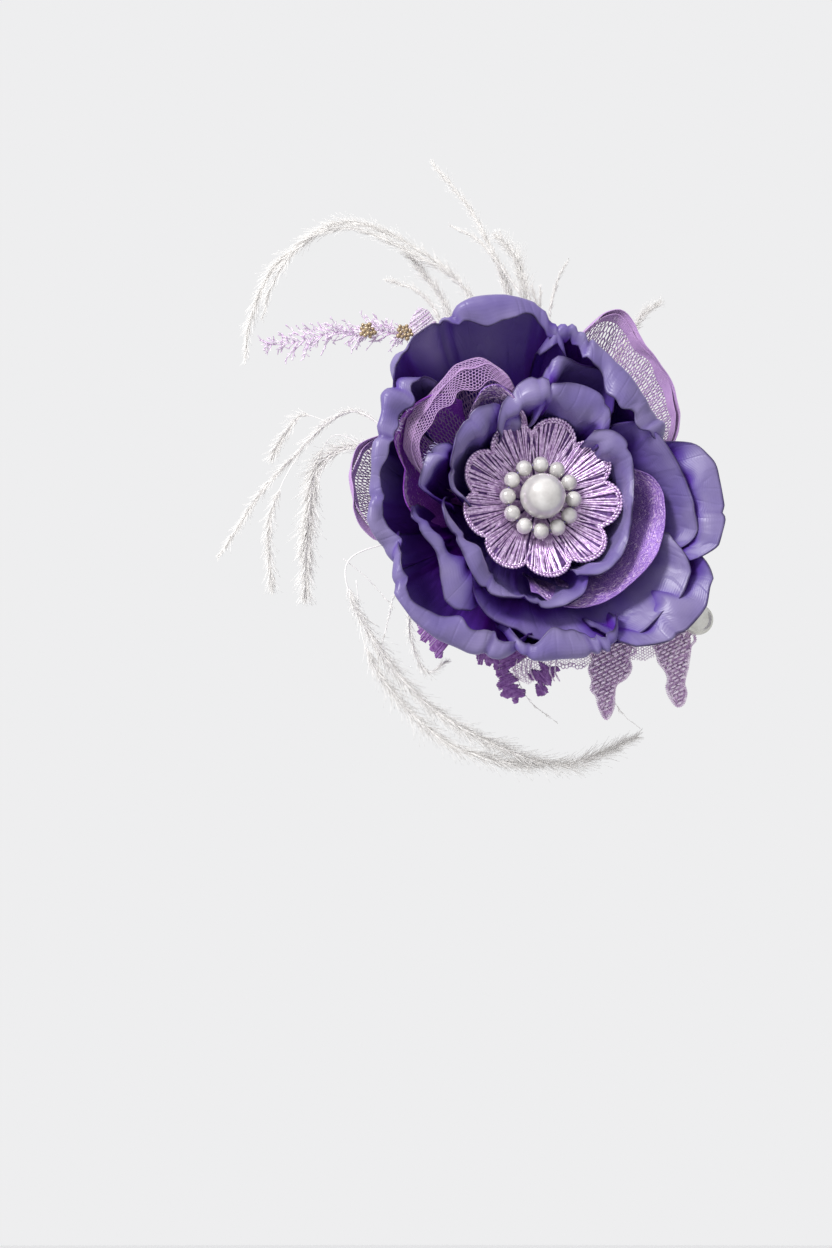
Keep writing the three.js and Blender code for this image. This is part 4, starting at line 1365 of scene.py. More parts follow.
def bored_ball(centre, radius, axis):
    """A pearl with a hole through it along an axis: a closed ring of ball and bore."""
    dip = math.asin(PEARL_BORE / radius)
    down = np.linspace(dip, np.pi - dip, 25)
    outline = np.stack([radius * np.sin(down), radius * np.cos(down)], axis=1)
    inside = np.stack([np.full(6, PEARL_BORE), np.linspace(outline[-1, 1], outline[0, 1], 8)[1:-1]], axis=1)
    profile = np.concatenate([outline, inside])
    axis = unit(np.asarray(axis, float))
    side = unit(np.cross(axis, (0, 0, 1)))
    over = np.cross(axis, side)
    turn = circle(BORED_SIDES)
    ring = np.cos(turn)[:, None] * side + np.sin(turn)[:, None] * over
    points = centre + profile[None, :, :1] * ring[:, None, :] + profile[None, :, 1:] * axis
    return points.reshape(-1, 3), ring_faces(np.arange(BORED_SIDES * len(profile)).reshape(BORED_SIDES, -1))


def make_pearls():
    """The centre pearl, the ring of bored pearls round it and the thread that they are on."""
    bead = ball(*cad_ball("centre_pearl"), 64, 32)
    place(add_mesh("centre_pearl_bead", *bead, PEARL), nodes=["centre_pearl"])
    for node in sorted(n for n in NODES if n.startswith("ring_pearl_")):
        centre, radius = cad_ball(node)
        bead = bored_ball(centre, radius, (-centre[1], centre[0], 0))
        place(add_mesh(node + "_bead", *bead, PEARL), nodes=[node])
    low, high = cad_box("pearl_string")
    turn = np.linspace(0, 2 * np.pi, 241)
    path = polar((high[0] - low[0]) / 2 - STRING_RADIUS, turn, (low[2] + high[2]) / 2)
    string = add_mesh("pearl_string_thread", *tubes([path], STRING_RADIUS, 6), STITCH)
    place(string, nodes=["pearl_string"])


# ---------------------------------------------------------------- lace
def wound_bar(path, radius, thread=0.13, pitch=0.3):
    """A bar of satin stitch: a core with thread wound round it."""
    path = resample(path, max(6, int(steps(path).sum() / 0.4)))
    along = unit(np.gradient(path, axis=0))
    side = unit(np.cross(along, (0, 0, 1)))
    over = np.cross(side, along)
    turns = steps(path).sum() / pitch
    at = np.linspace(0, len(path) - 1, max(12, int(turns * 8)))
    spin = np.linspace(0, 2 * np.pi * turns, len(at))
    ends = np.sin(np.pi * np.linspace(0.06, 0.94, len(at))) ** 0.35
    wide, flat = radius * ends, 0.55 * radius * ends
    coil = read_rows(path, at) + read_rows(side, at) * (wide * np.cos(spin))[:, None]
    coil = coil + read_rows(over, at) * (flat * np.sin(spin))[:, None]
    core_ends = 0.8 * np.sin(np.pi * np.linspace(0.05, 0.95, len(path))) ** 0.35
    core = tubes([path], 0.75 * radius * core_ends, 8)
    return merge([core, tubes([coil], thread, 5)])


def loop_line(centre, radius, thread, z):
    """A small picot ring of thread."""
    line = polar(radius, np.linspace(0, 2 * np.pi, 17), z) + (*centre, 0)
    return tubes([line], thread, 5)


MOTIF_PITCH, MOTIF_THREAD = 0.24, 0.18
# Outlines of the lace pieces, in the flower frame.
LEAVES = {
    "lace_leaf_bottom": [
        (10, -21), (13.5, -30), (15.2, -32.6), (14.2, -35.2), (15, -37.8), (14.6, -39.6), (15.9, -41.2),
        (16.4, -43.4), (18, -46.2), (19.6, -43.6), (19.8, -41), (20.3, -38.4), (22.6, -36.8), (23.8, -34.6),
        (23.4, -32), (24.6, -30), (16, -21),
    ],
    "lace_leaf_right": [
        (16, -17), (27, -27), (29.6, -30.4), (30.2, -33), (31.8, -35), (32.4, -37), (32, -38.8), (32.8, -41),
        (34.4, -42.8), (35.8, -42), (36.4, -39.6), (35.9, -37.6), (36.8, -34), (37.5, -29.5), (37.8, -26),
        (24, -15),
    ],
}
CLUSTER = [
    [(-11.4, -33), (-11, -34.9), (-10.1, -35), (-9.7, -33.7), (-9.2, -34.9), (-8.3, -35.3), (-7.6, -34.4),
     (-7.4, -35.8), (-6.6, -36.4), (-6, -31), (-4, -22), (-9, -22), (-11.5, -31)],
    [(-6.9, -37.2), (-6.1, -38), (-6.8, -39.3), (-6.1, -40.6), (-5.2, -40.2), (-6.1, -41.7), (-4.3, -42.4),
     (-3.4, -42), (-3, -43.4), (-1.9, -43.4), (-2.1, -42.1), (-0.5, -41.8), (-0.3, -40.2), (-2.1, -39.9),
     (-1.7, -39.2), (-3.4, -39), (-1.6, -38.4), (-3, -37.1), (-4.3, -36), (-2, -34.4), (0, -33), (1, -22),
     (-4, -22), (-6.5, -31)],
    [(0.2, -37.2), (1.1, -38), (2.8, -38.2), (1.9, -39.3), (2.4, -41.6), (3.7, -41.4), (4.8, -40.7),
     (4.6, -39.5), (3.2, -39), (5.5, -39.1), (5.7, -37.6), (6.4, -37.1), (6.2, -36.1), (7.6, -35.8),
     (7.4, -34.9), (5, -34.9), (2.6, -33.6), (3.4, -36), (1.2, -35.6)],
]
CLUSTER_HEADINGS = (80, 25, 130)
CLUSTER_NET = [(-5, -30), (-3.5, -36), (-2, -38), (0.5, -39), (3, -37.5), (6, -34.2), (13, -34.6),
               (21, -32.6), (27, -32.8), (30.5, -31.4), (30, -27), (12, -21), (-4, -22)]
FRAGMENT = [(-25, -25.8), (-24.2, -27.5), (-24.7, -28.2), (-23.7, -28.8), (-24, -29.9), (-22.8, -30.5),
            (-21.8, -29.8), (-21.8, -32.2), (-20.7, -32.4), (-20.4, -33.8), (-19.2, -33.9), (-18.7, -32.2),
            (-17.8, -31), (-13, -22), (-14, -16), (-18, -16), (-22, -21)]


def hatch(outline, heading, pitch, seed, ragged=0.12):
    """Ends of parallel stitches that fill an outline, (m, 2, 2)."""
    rng = np.random.default_rng(seed)
    turn = np.array([[math.cos(heading), -math.sin(heading)], [math.sin(heading), math.cos(heading)]])
    flat = np.asarray(outline, float) @ turn
    following = np.roll(flat, -1, 0)
    found = []
    for y in np.arange(flat[:, 1].min() + pitch / 2, flat[:, 1].max(), pitch):
        y = y + rng.normal(0, 0.12 * pitch)
        cut = (flat[:, 1] - y) * (following[:, 1] - y) < 0
        share = (y - flat[cut, 1]) / (following[cut, 1] - flat[cut, 1])
        crossings = np.sort(flat[cut, 0] + share * (following[cut, 0] - flat[cut, 0]))
        for left, right in zip(crossings[::2], crossings[1::2]):
            if right - left > 0.25:
                found.append([(left - rng.uniform(0, ragged), y), (right + rng.uniform(0, ragged), y)])
    return np.array(found) @ turn.T


def stitches(ends, z, radius, arch, seed, sides=5):
    """Thread laid between pairs of points, arched a little over the ground."""
    rng = np.random.default_rng(seed)
    t = np.linspace(0, 1, 7)
    flat = ends[:, :1] + (ends[:, 1:] - ends[:, :1]) * t[None, :, None]
    height = z + arch * np.sin(np.pi * t) ** 0.5 + rng.normal(0, 0.04, len(ends))[:, None]
    paths = np.concatenate([flat, height[..., None]], axis=2)
    thick = radius * rng.uniform(0.85, 1.15, len(ends))[:, None] * (0.75 + 0.25 * np.sin(np.pi * t))
    return tubes(paths, thick, sides)


def short_stitches(ends, length, gap):
    """Long stitches cut into short ones."""
    found = []
    for row, (start, end) in enumerate(ends):
        span = np.linalg.norm(end - start)
        ahead = (end - start) / max(span, 1e-6)
        at = 0.15 + 0.5 * (row % 2) * (length + gap)
        while at + length < span:
            found.append([start + ahead * at, start + ahead * (at + length)])
            at += length + gap
    return np.array(found)


def lace_leaf(node, outline, seed):
    """A pointed leaf: a stitched ground, rows of short bright stitches and a wound edge."""
    z = cad_height(node)
    ground = stitches(hatch(outline, math.radians(62), 0.27, seed), z - 0.1, 0.17, 0.1, seed)
    rows = hatch(outline, math.radians(28), 0.78, seed + 1, 0.06)
    bright = stitches(short_stitches(rows, 1.25, 0.3), z + 0.15, 0.3, 0.3, seed + 2, 8)
    closed = resample([(x, y, z) for x, y in outline], 150)
    edge = wound_bar(closed, 0.34, thread=0.11, pitch=0.4)
    place(add_mesh(node + "_ground", *ground, LACE_GROUND))
    place(add_mesh(node + "_embroidery", *merge([bright, edge]), LACE), nodes=[node])


def fine_net(outline, z, pitch, thread, seed):
    """Crossing threads that fill an outline."""
    return [
        stitches(hatch(outline, math.radians(heading), pitch, seed), z, thread, 0.0, seed, 4)
        for heading in (35, 95, 155)
    ]


def motif(outline, heading, z, seed, ragged):
    """Solid embroidery that fills an outline."""
    rows = hatch(outline, math.radians(heading), MOTIF_PITCH, seed, ragged)
    return stitches(rows, z, MOTIF_THREAD, MOTIF_THREAD, seed)


def make_lace():
    """The two leaves, the flower-shaped cluster with its net and picots, and the fragment."""
    for number, (node, outline) in enumerate(LEAVES.items()):
        lace_leaf(node, outline, 61 + 5 * number)

    node = "lace_cluster_bottom"
    z = cad_height(node)
    parts = []
    for seed, (outline, heading) in enumerate(zip(CLUSTER, CLUSTER_HEADINGS), 71):
        parts.append(motif(outline, heading, z, seed, 0.2))
    place(add_mesh(node + "_motif", *merge(parts), LACE_DARK), nodes=[node])
    bright = fine_net(CLUSTER_NET, z - 0.15, 0.55, 0.07, 75)
    for x in (-2.2, -0.8, 0.2, 1.2, 5.6, 6.8):
        line = np.array([(x, -33.5, z + 0.3), (x - 0.5, -36, z + 0.5), (x + 0.6, -38.2, z + 0.4)])
        bright.append(wound_bar(line, 0.18, 0.09))
    for x in np.arange(7.5, 13.5, 0.8):
        bright.append(loop_line((x, -34.6 + 0.3 * math.sin(2 * x)), 0.42, 0.14, z))
    place(add_mesh(node + "_edging", *merge(bright), LACE))

    node = "lace_fragment_left"
    z = cad_height(node)
    place(add_mesh(node + "_motif", *motif(FRAGMENT, 50, z, 79, 0.25), LACE_DARK), nodes=[node])


SEEDS = 15
SEED_PILE = 1.75
SEED_TURN = 2.4
# The spray's stem, and the scrap of net at its foot.
SPRAY_STEM = [(-13, 22), (-19, 33), (-24.9, 38.4), (-29.2, 38.4), (-34.7, 39.2), (-38.4, 37.8), (-43.4, 38.0),
              (-48.9, 36.4), (-54.5, 34.8), (-60, 34.4)]
SCRAP = [(-27, 39.5), (-26.4, 42), (-24.6, 45), (-22.4, 44.4), (-20, 41), (-18, 36), (-17, 31), (-21, 34),
         (-25, 37)]


def spray_branch(root, toward, side, reach, rng):
    """A branch of the spray and its three twigs, each a line of nine points."""
    spread = rng.uniform(0.45, 1.1)
    t = np.linspace(0, 1, 9)[:, None]
    curl = rng.normal(0, 0.5)
    aside = side * (math.sin(spread) * t + 0.25 * curl * t**2)
    branch = root + reach * (toward * t * math.cos(spread) + aside)
    branch[:, 2] += rng.normal(0, 0.6) * t[:, 0] + 0.4 * np.sin(6 * t[:, 0] + curl)
    lines = [branch]
    for k in (3, 5, 7):
        turn = rng.normal(0, 0.9)
        x, y, z = unit(branch[k] - branch[k - 1])
        cos, sin = math.cos(turn), math.sin(turn)
        bent = np.array([x * cos - y * sin, x * sin + y * cos, z])
        lines.append(branch[k] + bent * t * rng.uniform(0.5, 1.3))
    return lines


def make_spray():
    """A fern-like spray of lace threads, with two little piles of seed beads."""
    node = "lace_spray"
    z = cad_height(node)
    rng = np.random.default_rng(83)
    stem = resample([(x, y, z) for x, y in SPRAY_STEM], 120)
    parts = [tubes([stem], np.linspace(0.26, 0.1, 120), 6)]
    paths = []
    along = unit(np.gradient(stem, axis=0))
    for i in range(46, 117):
        for hand in (-1, 1):
            if rng.uniform() < 0.25:
                continue
            side = hand * np.array([-along[i, 1], along[i, 0], 0])
            reach = rng.uniform(2.0, 5.4) * (1.0 if i < 104 else 0.6)
            paths += spray_branch(stem[i], along[i], side, reach, rng)
    thick = 0.13 * np.linspace(1, 0.7, 9)[None] * rng.uniform(0.8, 1.3, len(paths))[:, None]
    parts.append(tubes(paths, thick, 4))
    parts += fine_net(SCRAP, z, 0.5, 0.08, 91)
    parts.append(stitches(hatch(SCRAP, math.radians(40), 0.8, 92, 0.0), z + 0.1, 0.15, 0.2, 92))
    place(add_mesh(node + "_fern", *merge(parts), LACE), nodes=[node])
    for node in ("bead_cluster_inner", "bead_cluster_outer"):
        parts = []
        for k in range(SEEDS):
            reach = SEED_PILE * math.sqrt(k / SEEDS)
            turn = k * SEED_TURN
            height = 0.75 - 0.3 * reach + rng.normal(0, 0.12)
            at = cad_ball(node)[0] + (reach * math.cos(turn), reach * math.sin(turn), height)
            parts.append(ball(at, rng.uniform(0.42, 0.58), 14, 8))
        place(add_mesh(node + "_seeds", *merge(parts), BEAD), nodes=[node])


SIDE_BEAD_RADIUS = 3.4
SIDE_BEAD_PROFILE = [(0.0, 0.9), (1.2, 0.95), (2.2, 0.9), (2.7, 1.15), (3.1, 1.25), (3.4, 0.8), (3.5, 0.0)]
SIDE_BEAD_WIRE = [(20.5, -12.5, 5.6), (30, -18, 6.2)]


def make_side_bead():
    """A flat translucent bead with a rounded rim, on a short wire."""
    node = "side_bead"
    points = cad_points(node)
    centre = points[points[:, 0].argmax()] - (SIDE_BEAD_RADIUS, 0, 0)
    fine = smooth_curve(np.arange(7), SIDE_BEAD_PROFILE, np.linspace(0, 6, 25))
    outline = np.concatenate([fine, fine[-2::-1] * (1, -1)])[1:-1]
    body = polar(outline[None, :, 0], circle(64)[:, None], outline[None, :, 1])
    index = np.arange(64 * len(outline)).reshape(64, -1)
    faces = turned_faces(index).tolist() + [index[:, 0].tolist(), index[::-1, -1].tolist()]
    disc = add_mesh(node + "_disc", body.reshape(-1, 3) + centre, faces, CLEAR)
    place(disc, nodes=[node])
    line = resample(SIDE_BEAD_WIRE + [centre + (-2.6, 1.6, 0)], 40)
    place(add_mesh(node + "_wire", *tubes([line], 0.3, 8), STITCH))


# ---------------------------------------------------------------- feathers
# Each frond: its line, quill radius, barbs to the millimetre, their length and how far they stand off.
FRONDS = {
    "feather_arch": [
        ([(-6, 24, 6), (-11, 46, 6), (-24, 58, 6), (-41, 63.5, 6), (-56, 53.5, 6), (-62, 41, 6),
          (-63.5, 31, 6)], 0.2, 5, 5.5, 0.19),
        ([(-5.6, 23.4, 6), (-8, 30, 7), (-14, 49, 7), (-27, 57.5, 7), (-40, 62, 7), (-50, 58.5, 7),
          (-57, 49.5, 7), (-59.5, 41, 6)], 0.12, 4, 5.0, 0.22),
    ],
    "feather_tall": [
        ([(-2.5, 24, 6.4), (-3.5, 48, 7), (-8.5, 60, 7), (-13, 69, 6), (-21, 79, 5)],
         0.2, 6, 3.8, 0.22),
    ],
    "feather_top_short": [
        ([(1.5, 24, 6.2), (-0.5, 44, 9.5), (-4.5, 52, 9.5), (-11, 60, 9), (-17.5, 63.5, 8.5)],
         0.2, 6, 3.0, 0.2),
        ([(0.5, 24, 6), (0.2, 45, 8), (-1.6, 54.6, 8), (-4, 59.4, 8), (-7.1, 62.3, 8)],
         0.1, 9, 5.0, 0.4),
        ([(-1, 24, 6), (-4, 45, 8), (-6, 53, 8), (-7.4, 57, 8)], 0.12, 7, 3.5, 0.3),
    ],
    "feather_upper_left": [
        ([(-11.5, 23, 5.8), (-19, 43, 3.5), (-24, 49.5, 3), (-31, 52, 2.5)], 0.2, 6, 3.4, 0.24),
        ([(-10, 22, 6), (-11, 25, 6.4), (-17.6, 45.3, 5), (-23.2, 53.1, 5), (-27.4, 58.6, 5)],
         0.12, 8, 4.6, 0.34),
    ],
    "feather_top_right": [
        ([(4, 24, 6), (5.5, 44, 6), (7.5, 53, 6), (10, 58, 6)], 0.22, 6, 2.4, 0.18),
        ([(2.5, 24, 6), (3, 44, 7), (3.4, 51.2, 7)], 0.16, 7, 2.2, 0.22),
        ([(1, 24, 6), (2.2, 44, 7.6), (1.2, 51, 7.6)], 0.16, 7, 2.2, 0.22),
    ],
    "feather_right": [
        ([(13.5, 21, 5.6), (21.5, 36, 5.4), (27, 45.5, 5.4), (32, 50, 5)], 0.2, 8, 4.2, 0.28),
    ],
    "feather_lower_left": [
        ([(-23, 8, 5.8), (-36, 20, 5), (-44, 18.5, 4.5), (-52, 10, 4), (-59, 2, 3), (-68, -12.5, 1)],
         0.26, 6, 4.0, 0.2),
        ([(-44, 18, 4.5), (-50, 19.5, 4), (-54, 15, 4), (-57, 9.5, 4)], 0.1, 7, 4.0, 0.3),
        ([(-52, 9, 4), (-55, 2.8, 3.6), (-57.3, -6, 3), (-56.3, -19.4, 2)], 0.1, 7, 4.5, 0.26),
    ],
    "feather_left": [
        ([(-24, 4, 5.8), (-37, 13, 3), (-45, 10, 2), (-47.5, 4, 1), (-49, -12, 0)], 0.14, 9, 6.0, 0.34),
        ([(-37, 14, 3.4), (-43, 15.5, 3), (-46.5, 9, 2), (-48, -4, 1), (-48.8, -21, 0.5)],
         0.1, 8, 6.0, 0.3),
    ],
    "feather_bottom": [
        ([(-23.5, -6.5, 5.6), (-40, -13, 5), (-36, -27, 4), (-24, -42, 3), (-8, -51.5, 2), (9, -56, 2),
          (26, -49.5, 2)], 0.16, 8, 6.5, 0.32),
        ([(-38, -17, 4), (-36, -31, 3.4), (-29, -42, 2.6), (-18, -51.5, 2), (-6, -55.6, 1.6),
          (4, -56.4, 1.6)], 0.1, 8, 6.0, 0.3),
        ([(-21, -9.6, 5.8), (-26, -12, 5.4), (-29.5, -20, 4), (-30.6, -25, 3.4), (-32.2, -31.5, 3)],
         0.2, 3, 1.6, 0.2),
        ([(-20, -11.6, 5.8), (-24, -14, 5.4), (-26, -27, 4), (-22.3, -36.3, 3), (-17, -34, 3)],
         0.14, 6, 3.0, 0.3),
        ([(-41, -12.4, 4.6), (-35.4, -16.6, 4), (-29.5, -22.9, 4)], 0.12, 2, 1.2, 0.2),
        ([(-3, -23.4, 5.8), (-4, -30, 3.4), (0.4, -41.2, 3), (7.4, -47, 3)], 0.12, 2, 1.2, 0.2),
        ([(9.6, -21.4, 5.8), (14, -30, 3.4), (21.6, -43.4, 3), (26.6, -47.8, 3)], 0.12, 2, 1.2, 0.2),
    ],
}


QUILL_POINTS = 90
BARB_THREAD = 0.06


def frond(line, quill, per_mm, barb, stand_off, seed):
    """A quill and its fine barbs."""
    rng = np.random.default_rng(seed)
    path = resample(line, QUILL_POINTS)
    length = steps(path).sum()
    shaft = tubes([path], quill * np.linspace(1, 0.25, QUILL_POINTS), 6)
    count = int(2 * per_mm * length)
    at = np.sort(rng.uniform(0.22, 1.0, count))
    hand = rng.choice((-1, 1), count)
    index = at * (QUILL_POINTS - 1)
    along = unit(np.gradient(path, axis=0))
    side = unit(np.cross(along, (0.15, 0.1, 1)))
    root, ahead, beside = (read_rows(values, index) for values in (path, along, side))
    out = beside * hand[:, None]
    over = np.cross(beside, ahead)
    reach = barb * rng.uniform(0.35, 1.0, count) * np.minimum(1, (1.06 - at) * 6) * np.minimum(1, at * 3)
    spread = stand_off * rng.uniform(0.4, 1.5, count)
    t = np.linspace(0, 1, 7)[None, :, None]
    droop = rng.normal(0, 0.14, count)[:, None, None]
    lift = rng.normal(0, 0.16, count)[:, None, None]
    bend = out[:, None] * (np.sin(spread)[:, None, None] * t + droop * t**2) + over[:, None] * lift * t
    paths = root[:, None] + reach[:, None, None] * (ahead[:, None] * np.cos(spread)[:, None, None] * t + bend)
    barbs = tubes(paths, BARB_THREAD * np.linspace(1, 0.5, 7), 3)
    return merge([shaft, barbs])


def make_feathers():
    """All the feather nodes, each with its fronds."""
    for number, (node, fronds) in enumerate(FRONDS.items()):
        parts = [frond(*values, 500 + 20 * number + k) for k, values in enumerate(fronds)]
        place(add_mesh(node + "_fronds", *merge(parts), FEATHER), nodes=[node])


# ---------------------------------------------------------------- felt and clip
SLOT_CENTRE = 12.25
SLOT_HALF = (4.8, 6.2)
FELT_COLUMNS, FELT_ROWS = 288, 16
STITCH_COUNT = 64
WHIP_THREAD = 0.17
FUZZ_COUNT = 700
FELT_MIDDLE_HOLE = 0.6
RIM_BEND_FROM = 19.5
RIM_BEND_TO = 24.0
RIM_BEND = 0.65


def clear_of_clip(x, y):
    """0 where the clip's heel leaves between the felts and 1 away from it."""
    return np.maximum(smooth_share((np.abs(y) - 5.2) / 3.0), smooth_share(-x / 4.0))


def smooth_share(t):
    """From 0 to 1, easing in and out."""
    t = np.clip(t, 0, 1)
    return t * t * (3 - 2 * t)


def felt_ring(name, centre, inner, outer, low, high, bend, seed):
    """A felt disc from an inner to an outer outline round a centre, its soft rim bent to meet the other's."""
    turn = circle(FELT_COLUMNS)
    inside, outside = inner(turn), outer(turn) + 0.12 * waves(turn, seed, (0.21, 0.34, 0.09))
    share = np.linspace(0, 1, FELT_ROWS)
    half, middle = (high - low) / 2, (high + low) / 2
    soft = np.minimum(1, np.sqrt(np.maximum(0, 1 - ((share - 0.94) / 0.06).clip(0, 1) ** 2)) + 0.02)
    reach = inside[:, None] + (outside - inside)[:, None] * share
    lumps = 0.06 * waves(reach * 3 + 40 * turn[:, None], seed, (7, 11, 17))
    x, y = centre + reach * np.cos(turn[:, None]), reach * np.sin(turn[:, None])
    near_rim = smooth_share((np.hypot(x, y) - RIM_BEND_FROM) / (RIM_BEND_TO - RIM_BEND_FROM))
    middle = middle + bend * near_rim * clear_of_clip(x, y)
    top = polar(reach, turn[:, None], middle + half * soft + lumps * soft)
    under = polar(reach, turn[:, None], middle - half * soft + lumps * soft)
    points, faces = washer(top, under)
    return add_mesh(name, points + (centre, 0, 0), faces, FELT)


def felt_fuzz(name, radius, low, high, bend, seed):
    """Loose fibres along a felt rim."""
    rng = np.random.default_rng(seed)
    count = FUZZ_COUNT
    angle = rng.uniform(0, 2 * np.pi, count)
    root = polar(radius - 0.3, angle, rng.uniform(low + 0.2, high - 0.2, count))
    root[:, 2] += bend * clear_of_clip(root[:, 0], root[:, 1])
    heading = unit(polar(1, angle, 0) + rng.normal(0, 0.6, (count, 3)))
    curl = rng.normal(0, 0.5, (count, 3))
    t = np.linspace(0, 1, 5)[None, :, None]
    reach = rng.uniform(0.5, 1.3, count)[:, None, None]
    paths = root[:, None] + reach * (heading[:, None] * t + curl[:, None] * t**2)
    return add_mesh(name, *tubes(paths, 0.03, 3), FELT)


def felt_disc(node, centre, inner, outer, bend, seed):
    """One felt with its fuzz; returns its radius and its lowest and highest z."""
    low, high = cad_box(node)
    radius, z = high[0], (low[2], high[2])
    disc = felt_ring(node + "_disc", centre, inner, lambda turn: outer(turn, radius), *z, bend, seed)
    place(disc, nodes=[node])
    place(felt_fuzz(node + "_fuzz", radius, *z, bend, seed + 1))
    return radius, *z


def slot_reach(turn):
    """The backing's slot, a soft-cornered oblong, from its own centre."""
    long = np.abs(np.cos(turn) / SLOT_HALF[0]) ** 4
    across = np.abs(np.sin(turn) / SLOT_HALF[1]) ** 4
    return (long + across) ** -0.25


def rim_from_slot(turn, radius):
    """The backing's round rim, from the slot's centre."""
    return np.sqrt(radius**2 - (SLOT_CENTRE * np.sin(turn)) ** 2) - SLOT_CENTRE * np.cos(turn)


def make_felt():
    """The felt base, the slotted backing under it and the stitches that join their rims."""
    _, _, top = felt_disc("felt_base", 0, lambda turn: np.full(len(turn), FELT_MIDDLE_HOLE),
                          lambda turn, radius: np.full(len(turn), radius), -RIM_BEND, 31)
    backing = felt_disc("felt_backing", SLOT_CENTRE, slot_reach, rim_from_slot, RIM_BEND, 33)
    make_whip_stitches(backing[0], backing[1], top)


def make_whip_stitches(radius, low, high):
    """Slanting stitches over both rims."""
    rng = np.random.default_rng(35)
    angle = 2 * np.pi * (np.arange(STITCH_COUNT) + rng.uniform(-0.15, 0.15, STITCH_COUNT)) / STITCH_COUNT
    reach = radius + np.array([-1.6, -0.4, 0.5, 1.25, 1.3, 0.8, -0.2])
    height = low + np.array([0.3, 0.2, 0.5, 1.4, 2.9, high - low - 0.5, high - low - 0.2])
    angle = angle[clear_of_clip(radius * np.cos(angle), radius * np.sin(angle)) > 0.9]
    slant = np.linspace(0, 0.05, 7)
    line = polar(reach + 0 * angle[:, None], angle[:, None] + slant, height + 0 * angle[:, None])
    fine = np.stack([resample(path, 18) for path in line])
    place(add_mesh("whip_stitches", *tubes(fine, WHIP_THREAD, 6), STITCH))


SHARP_ANGLE = math.radians(50)
JAW_SHARP_ANGLE = math.radians(40)


def steel_piece(node, bevel):
    """A small clip part on its CAD outline, with softened edges."""
    points, faces = cad_points(node), [list(face.vertices) for face in NODES[node].data.polygons]
    obj = add_mesh(node + "_steel", points, faces, STEEL)
    work = bmesh.new()
    work.from_mesh(obj.data)
    bmesh.ops.remove_doubles(work, verts=work.verts, dist=1e-6)
    bmesh.ops.dissolve_limit(work, angle_limit=math.radians(2), verts=work.verts, edges=work.edges)
    sharp = [edge for edge in work.edges if edge.is_manifold and edge.calc_face_angle(0) > SHARP_ANGLE]
    bmesh.ops.bevel(
        work, geom=sharp, offset=bevel * MM, segments=2, profile=0.6, affect="EDGES", clamp_overlap=True
    )
    work.to_mesh(obj.data)
    work.free()
    obj.data.polygons.foreach_set("use_smooth", np.ones(len(obj.data.polygons), bool))
    obj.data.set_sharp_from_angle(angle=SHARP_ANGLE)
    place(obj, nodes=[node])


# The clip's sheet, its leaves' middle lines in x and z, its pin and its teeth.
CLIP_SHEET = 0.7
CLIP_EDGE = -0.2  # rounded edges: the sheet thins towards them
CLIP_HALF_WIDTH = 4.5
CLIP_CORNER = 2.6
EAR_SIDES = 72
EAR_HOLE = 1.1
MOVING_LEAF = [(-18, -1.35), (-6, -3.17), (6.2, -5.03), (7.6, -5.15), (16.4, -5.15),
               (17.6, -5.36), (30, -10.65)]
FIXED_LEAF = [(-18, 1.85), (0, 1.85), (16, 1.85), (30, 1.85)]
PIN_AT = (12.0, -2.6)
TEETH = [(-17.0, -1.0), (-14.5, -1.38), (-12.0, -1.76)]


def leaf_grid(line, narrow, pressed):
    """A clip leaf's middle surface: columns along it and rows across it."""
    line = np.asarray(line, float)
    gone = gone_at(steps(line))
    at = np.linspace(0, gone[-1], 220)
    x, z = np.interp(at, gone, line[:, 0]), np.interp(at, gone, line[:, 1])
    to_end = np.minimum(at, gone[-1] - at).clip(0, CLIP_CORNER)
    half = CLIP_HALF_WIDTH - CLIP_CORNER + np.sqrt(CLIP_CORNER**2 - (CLIP_CORNER - to_end) ** 2)
    waist = np.clip((x - 6.4) / 0.9, 0, 1) * np.clip((17.6 - x) / 0.9, 0, 1)
    half = half - narrow * waist
    y = half[:, None] * np.linspace(-1, 1, 41)
    z = z[:, None] - pressed(x[:, None], y)
    return np.stack([np.broadcast_to(x[:, None], y.shape), y, z], axis=-1)


def pressed_shape(x, y):
    """How far the moving leaf is pressed outwards: a long ridge on the prong, ribs on the lever."""
    ridge = 0.42 * np.exp(-((y / 1.2) ** 2)) * np.clip((x + 15.5) / 2, 0, 1) * np.clip((4.5 - x) / 2, 0, 1)
    on_lever = np.clip((x - 19.5) / 0.8, 0, 1) * np.clip((28 - x) / 0.8, 0, 1)
    ribs = 0.26 * (0.5 - 0.5 * np.cos(2 * np.pi * (x - 19.5) / 1.7)) * on_lever
    return ridge + ribs * np.clip((3.6 - np.abs(y)) / 0.8, 0, 1)


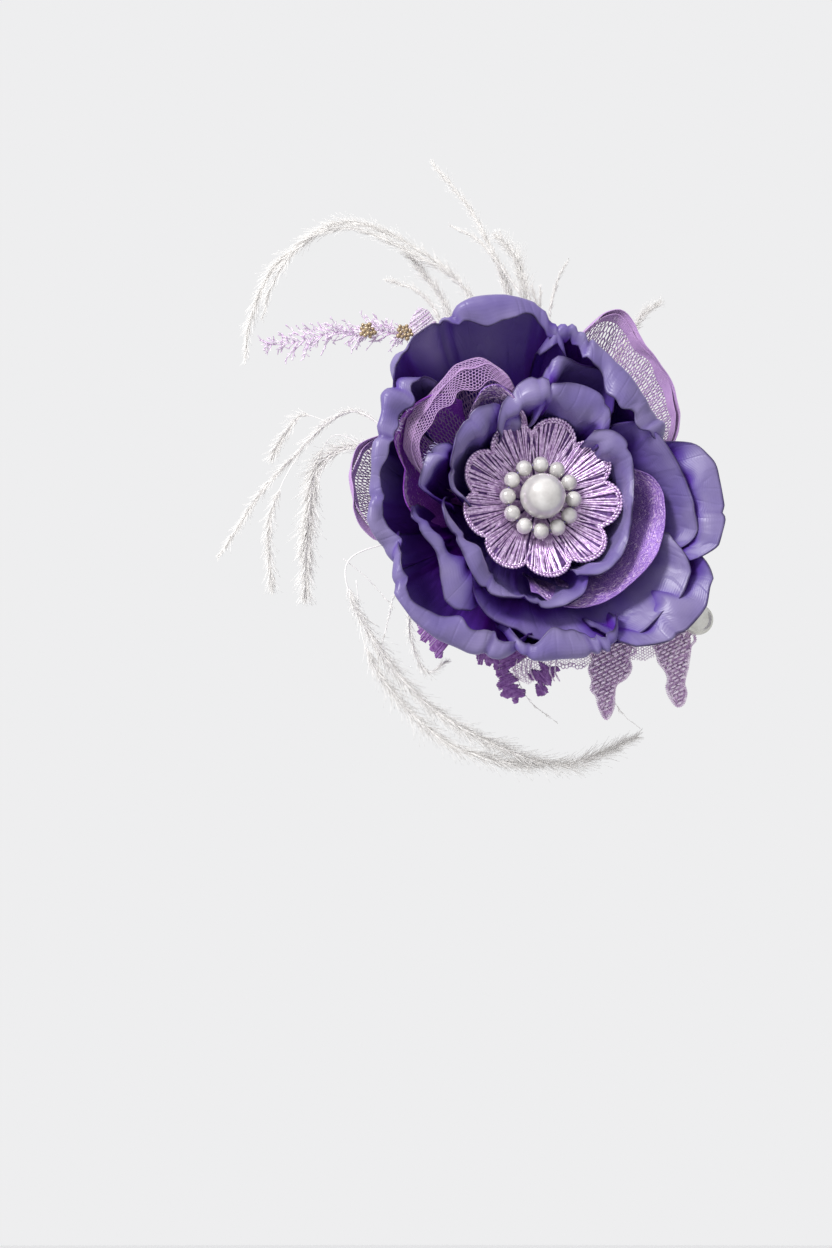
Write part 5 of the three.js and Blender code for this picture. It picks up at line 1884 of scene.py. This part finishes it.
def ear(y_from, y_to, outer, drop):
    """An ear round the pin's hole, between two sides: square up to a leaf above it and round below."""
    turn = circle(EAR_SIDES)
    to_side = outer / np.maximum(np.abs(np.cos(turn)), 1e-6)
    square = np.minimum(to_side, drop / np.maximum(np.abs(np.sin(turn)), 1e-6))
    rim = np.where(np.sin(turn) > 0, square, outer)
    rings = [(EAR_HOLE, y_from + 0.08), (1.2, y_from), (rim - 0.1, y_from), (rim, y_from + 0.1),
             (rim, y_to - 0.1), (rim - 0.1, y_to), (1.2, y_to), (EAR_HOLE, y_to - 0.08)]
    points = np.stack([polar(reach, turn, y) for reach, y in rings], axis=1)[..., [0, 2, 1]]
    points = points.reshape(-1, 3) + (PIN_AT[0], 0, PIN_AT[1])
    return points, ring_faces(np.arange(EAR_SIDES * len(rings)).reshape(EAR_SIDES, -1))


def leaf_ears(inner, outer_radius, drop, upward):
    """A pair of ears; upward ears stand up to the pin, the others hang down to it."""
    parts = []
    for hand in (-1, 1):
        low, high = sorted((hand * inner, hand * (inner + CLIP_SHEET)))
        points, faces = ear(low, high, outer_radius, drop)
        if upward:
            points[:, 2] = 2 * PIN_AT[1] - points[:, 2]
            faces = [face[::-1] for face in faces]
        parts.append((points, faces))
    return parts


def make_clip():
    """An alligator clip in plated steel sheet: two leaves with ears, teeth, a pin and a spring."""
    shell = cloth_shell(leaf_grid(MOVING_LEAF, 1.1, pressed_shape), CLIP_SHEET, CLIP_EDGE)[:2]
    teeth = []
    for x, z in TEETH:
        line = np.array([(x, y, z + 0.12) for y in np.linspace(-3.4, 3.4, 9)])
        teeth.append(tubes([line], 0.42, 3, up=(1, 0, 0)))
    obj = add_mesh("clip_moving_jaw_steel", *merge([shell] + teeth + leaf_ears(2.7, 2.4, 2.4, True)), STEEL)
    obj.data.set_sharp_from_angle(angle=JAW_SHARP_ANGLE)
    place(obj, "clip_jaw", nodes=["clip_moving_jaw"])
    flat = cloth_shell(leaf_grid(FIXED_LEAF, 0.0, lambda x, y: 0 * x * y), CLIP_SHEET, CLIP_EDGE)[:2]
    obj = add_mesh("clip_fixed_jaw_steel", *merge([flat] + leaf_ears(3.8, 3.0, 4.2, False)), STEEL)
    obj.data.set_sharp_from_angle(angle=JAW_SHARP_ANGLE)
    place(obj, nodes=["clip_fixed_jaw"])
    steel_piece("clip_pivot_pin", 0.12)
    steel_piece("clip_spring", 0.02)


make_camera()
make_stage()
make_petals()
make_nets()
make_thread_flower()
make_core()
make_pearls()
make_lace()
make_spray()
make_side_bead()
make_feathers()
make_felt()
make_clip()
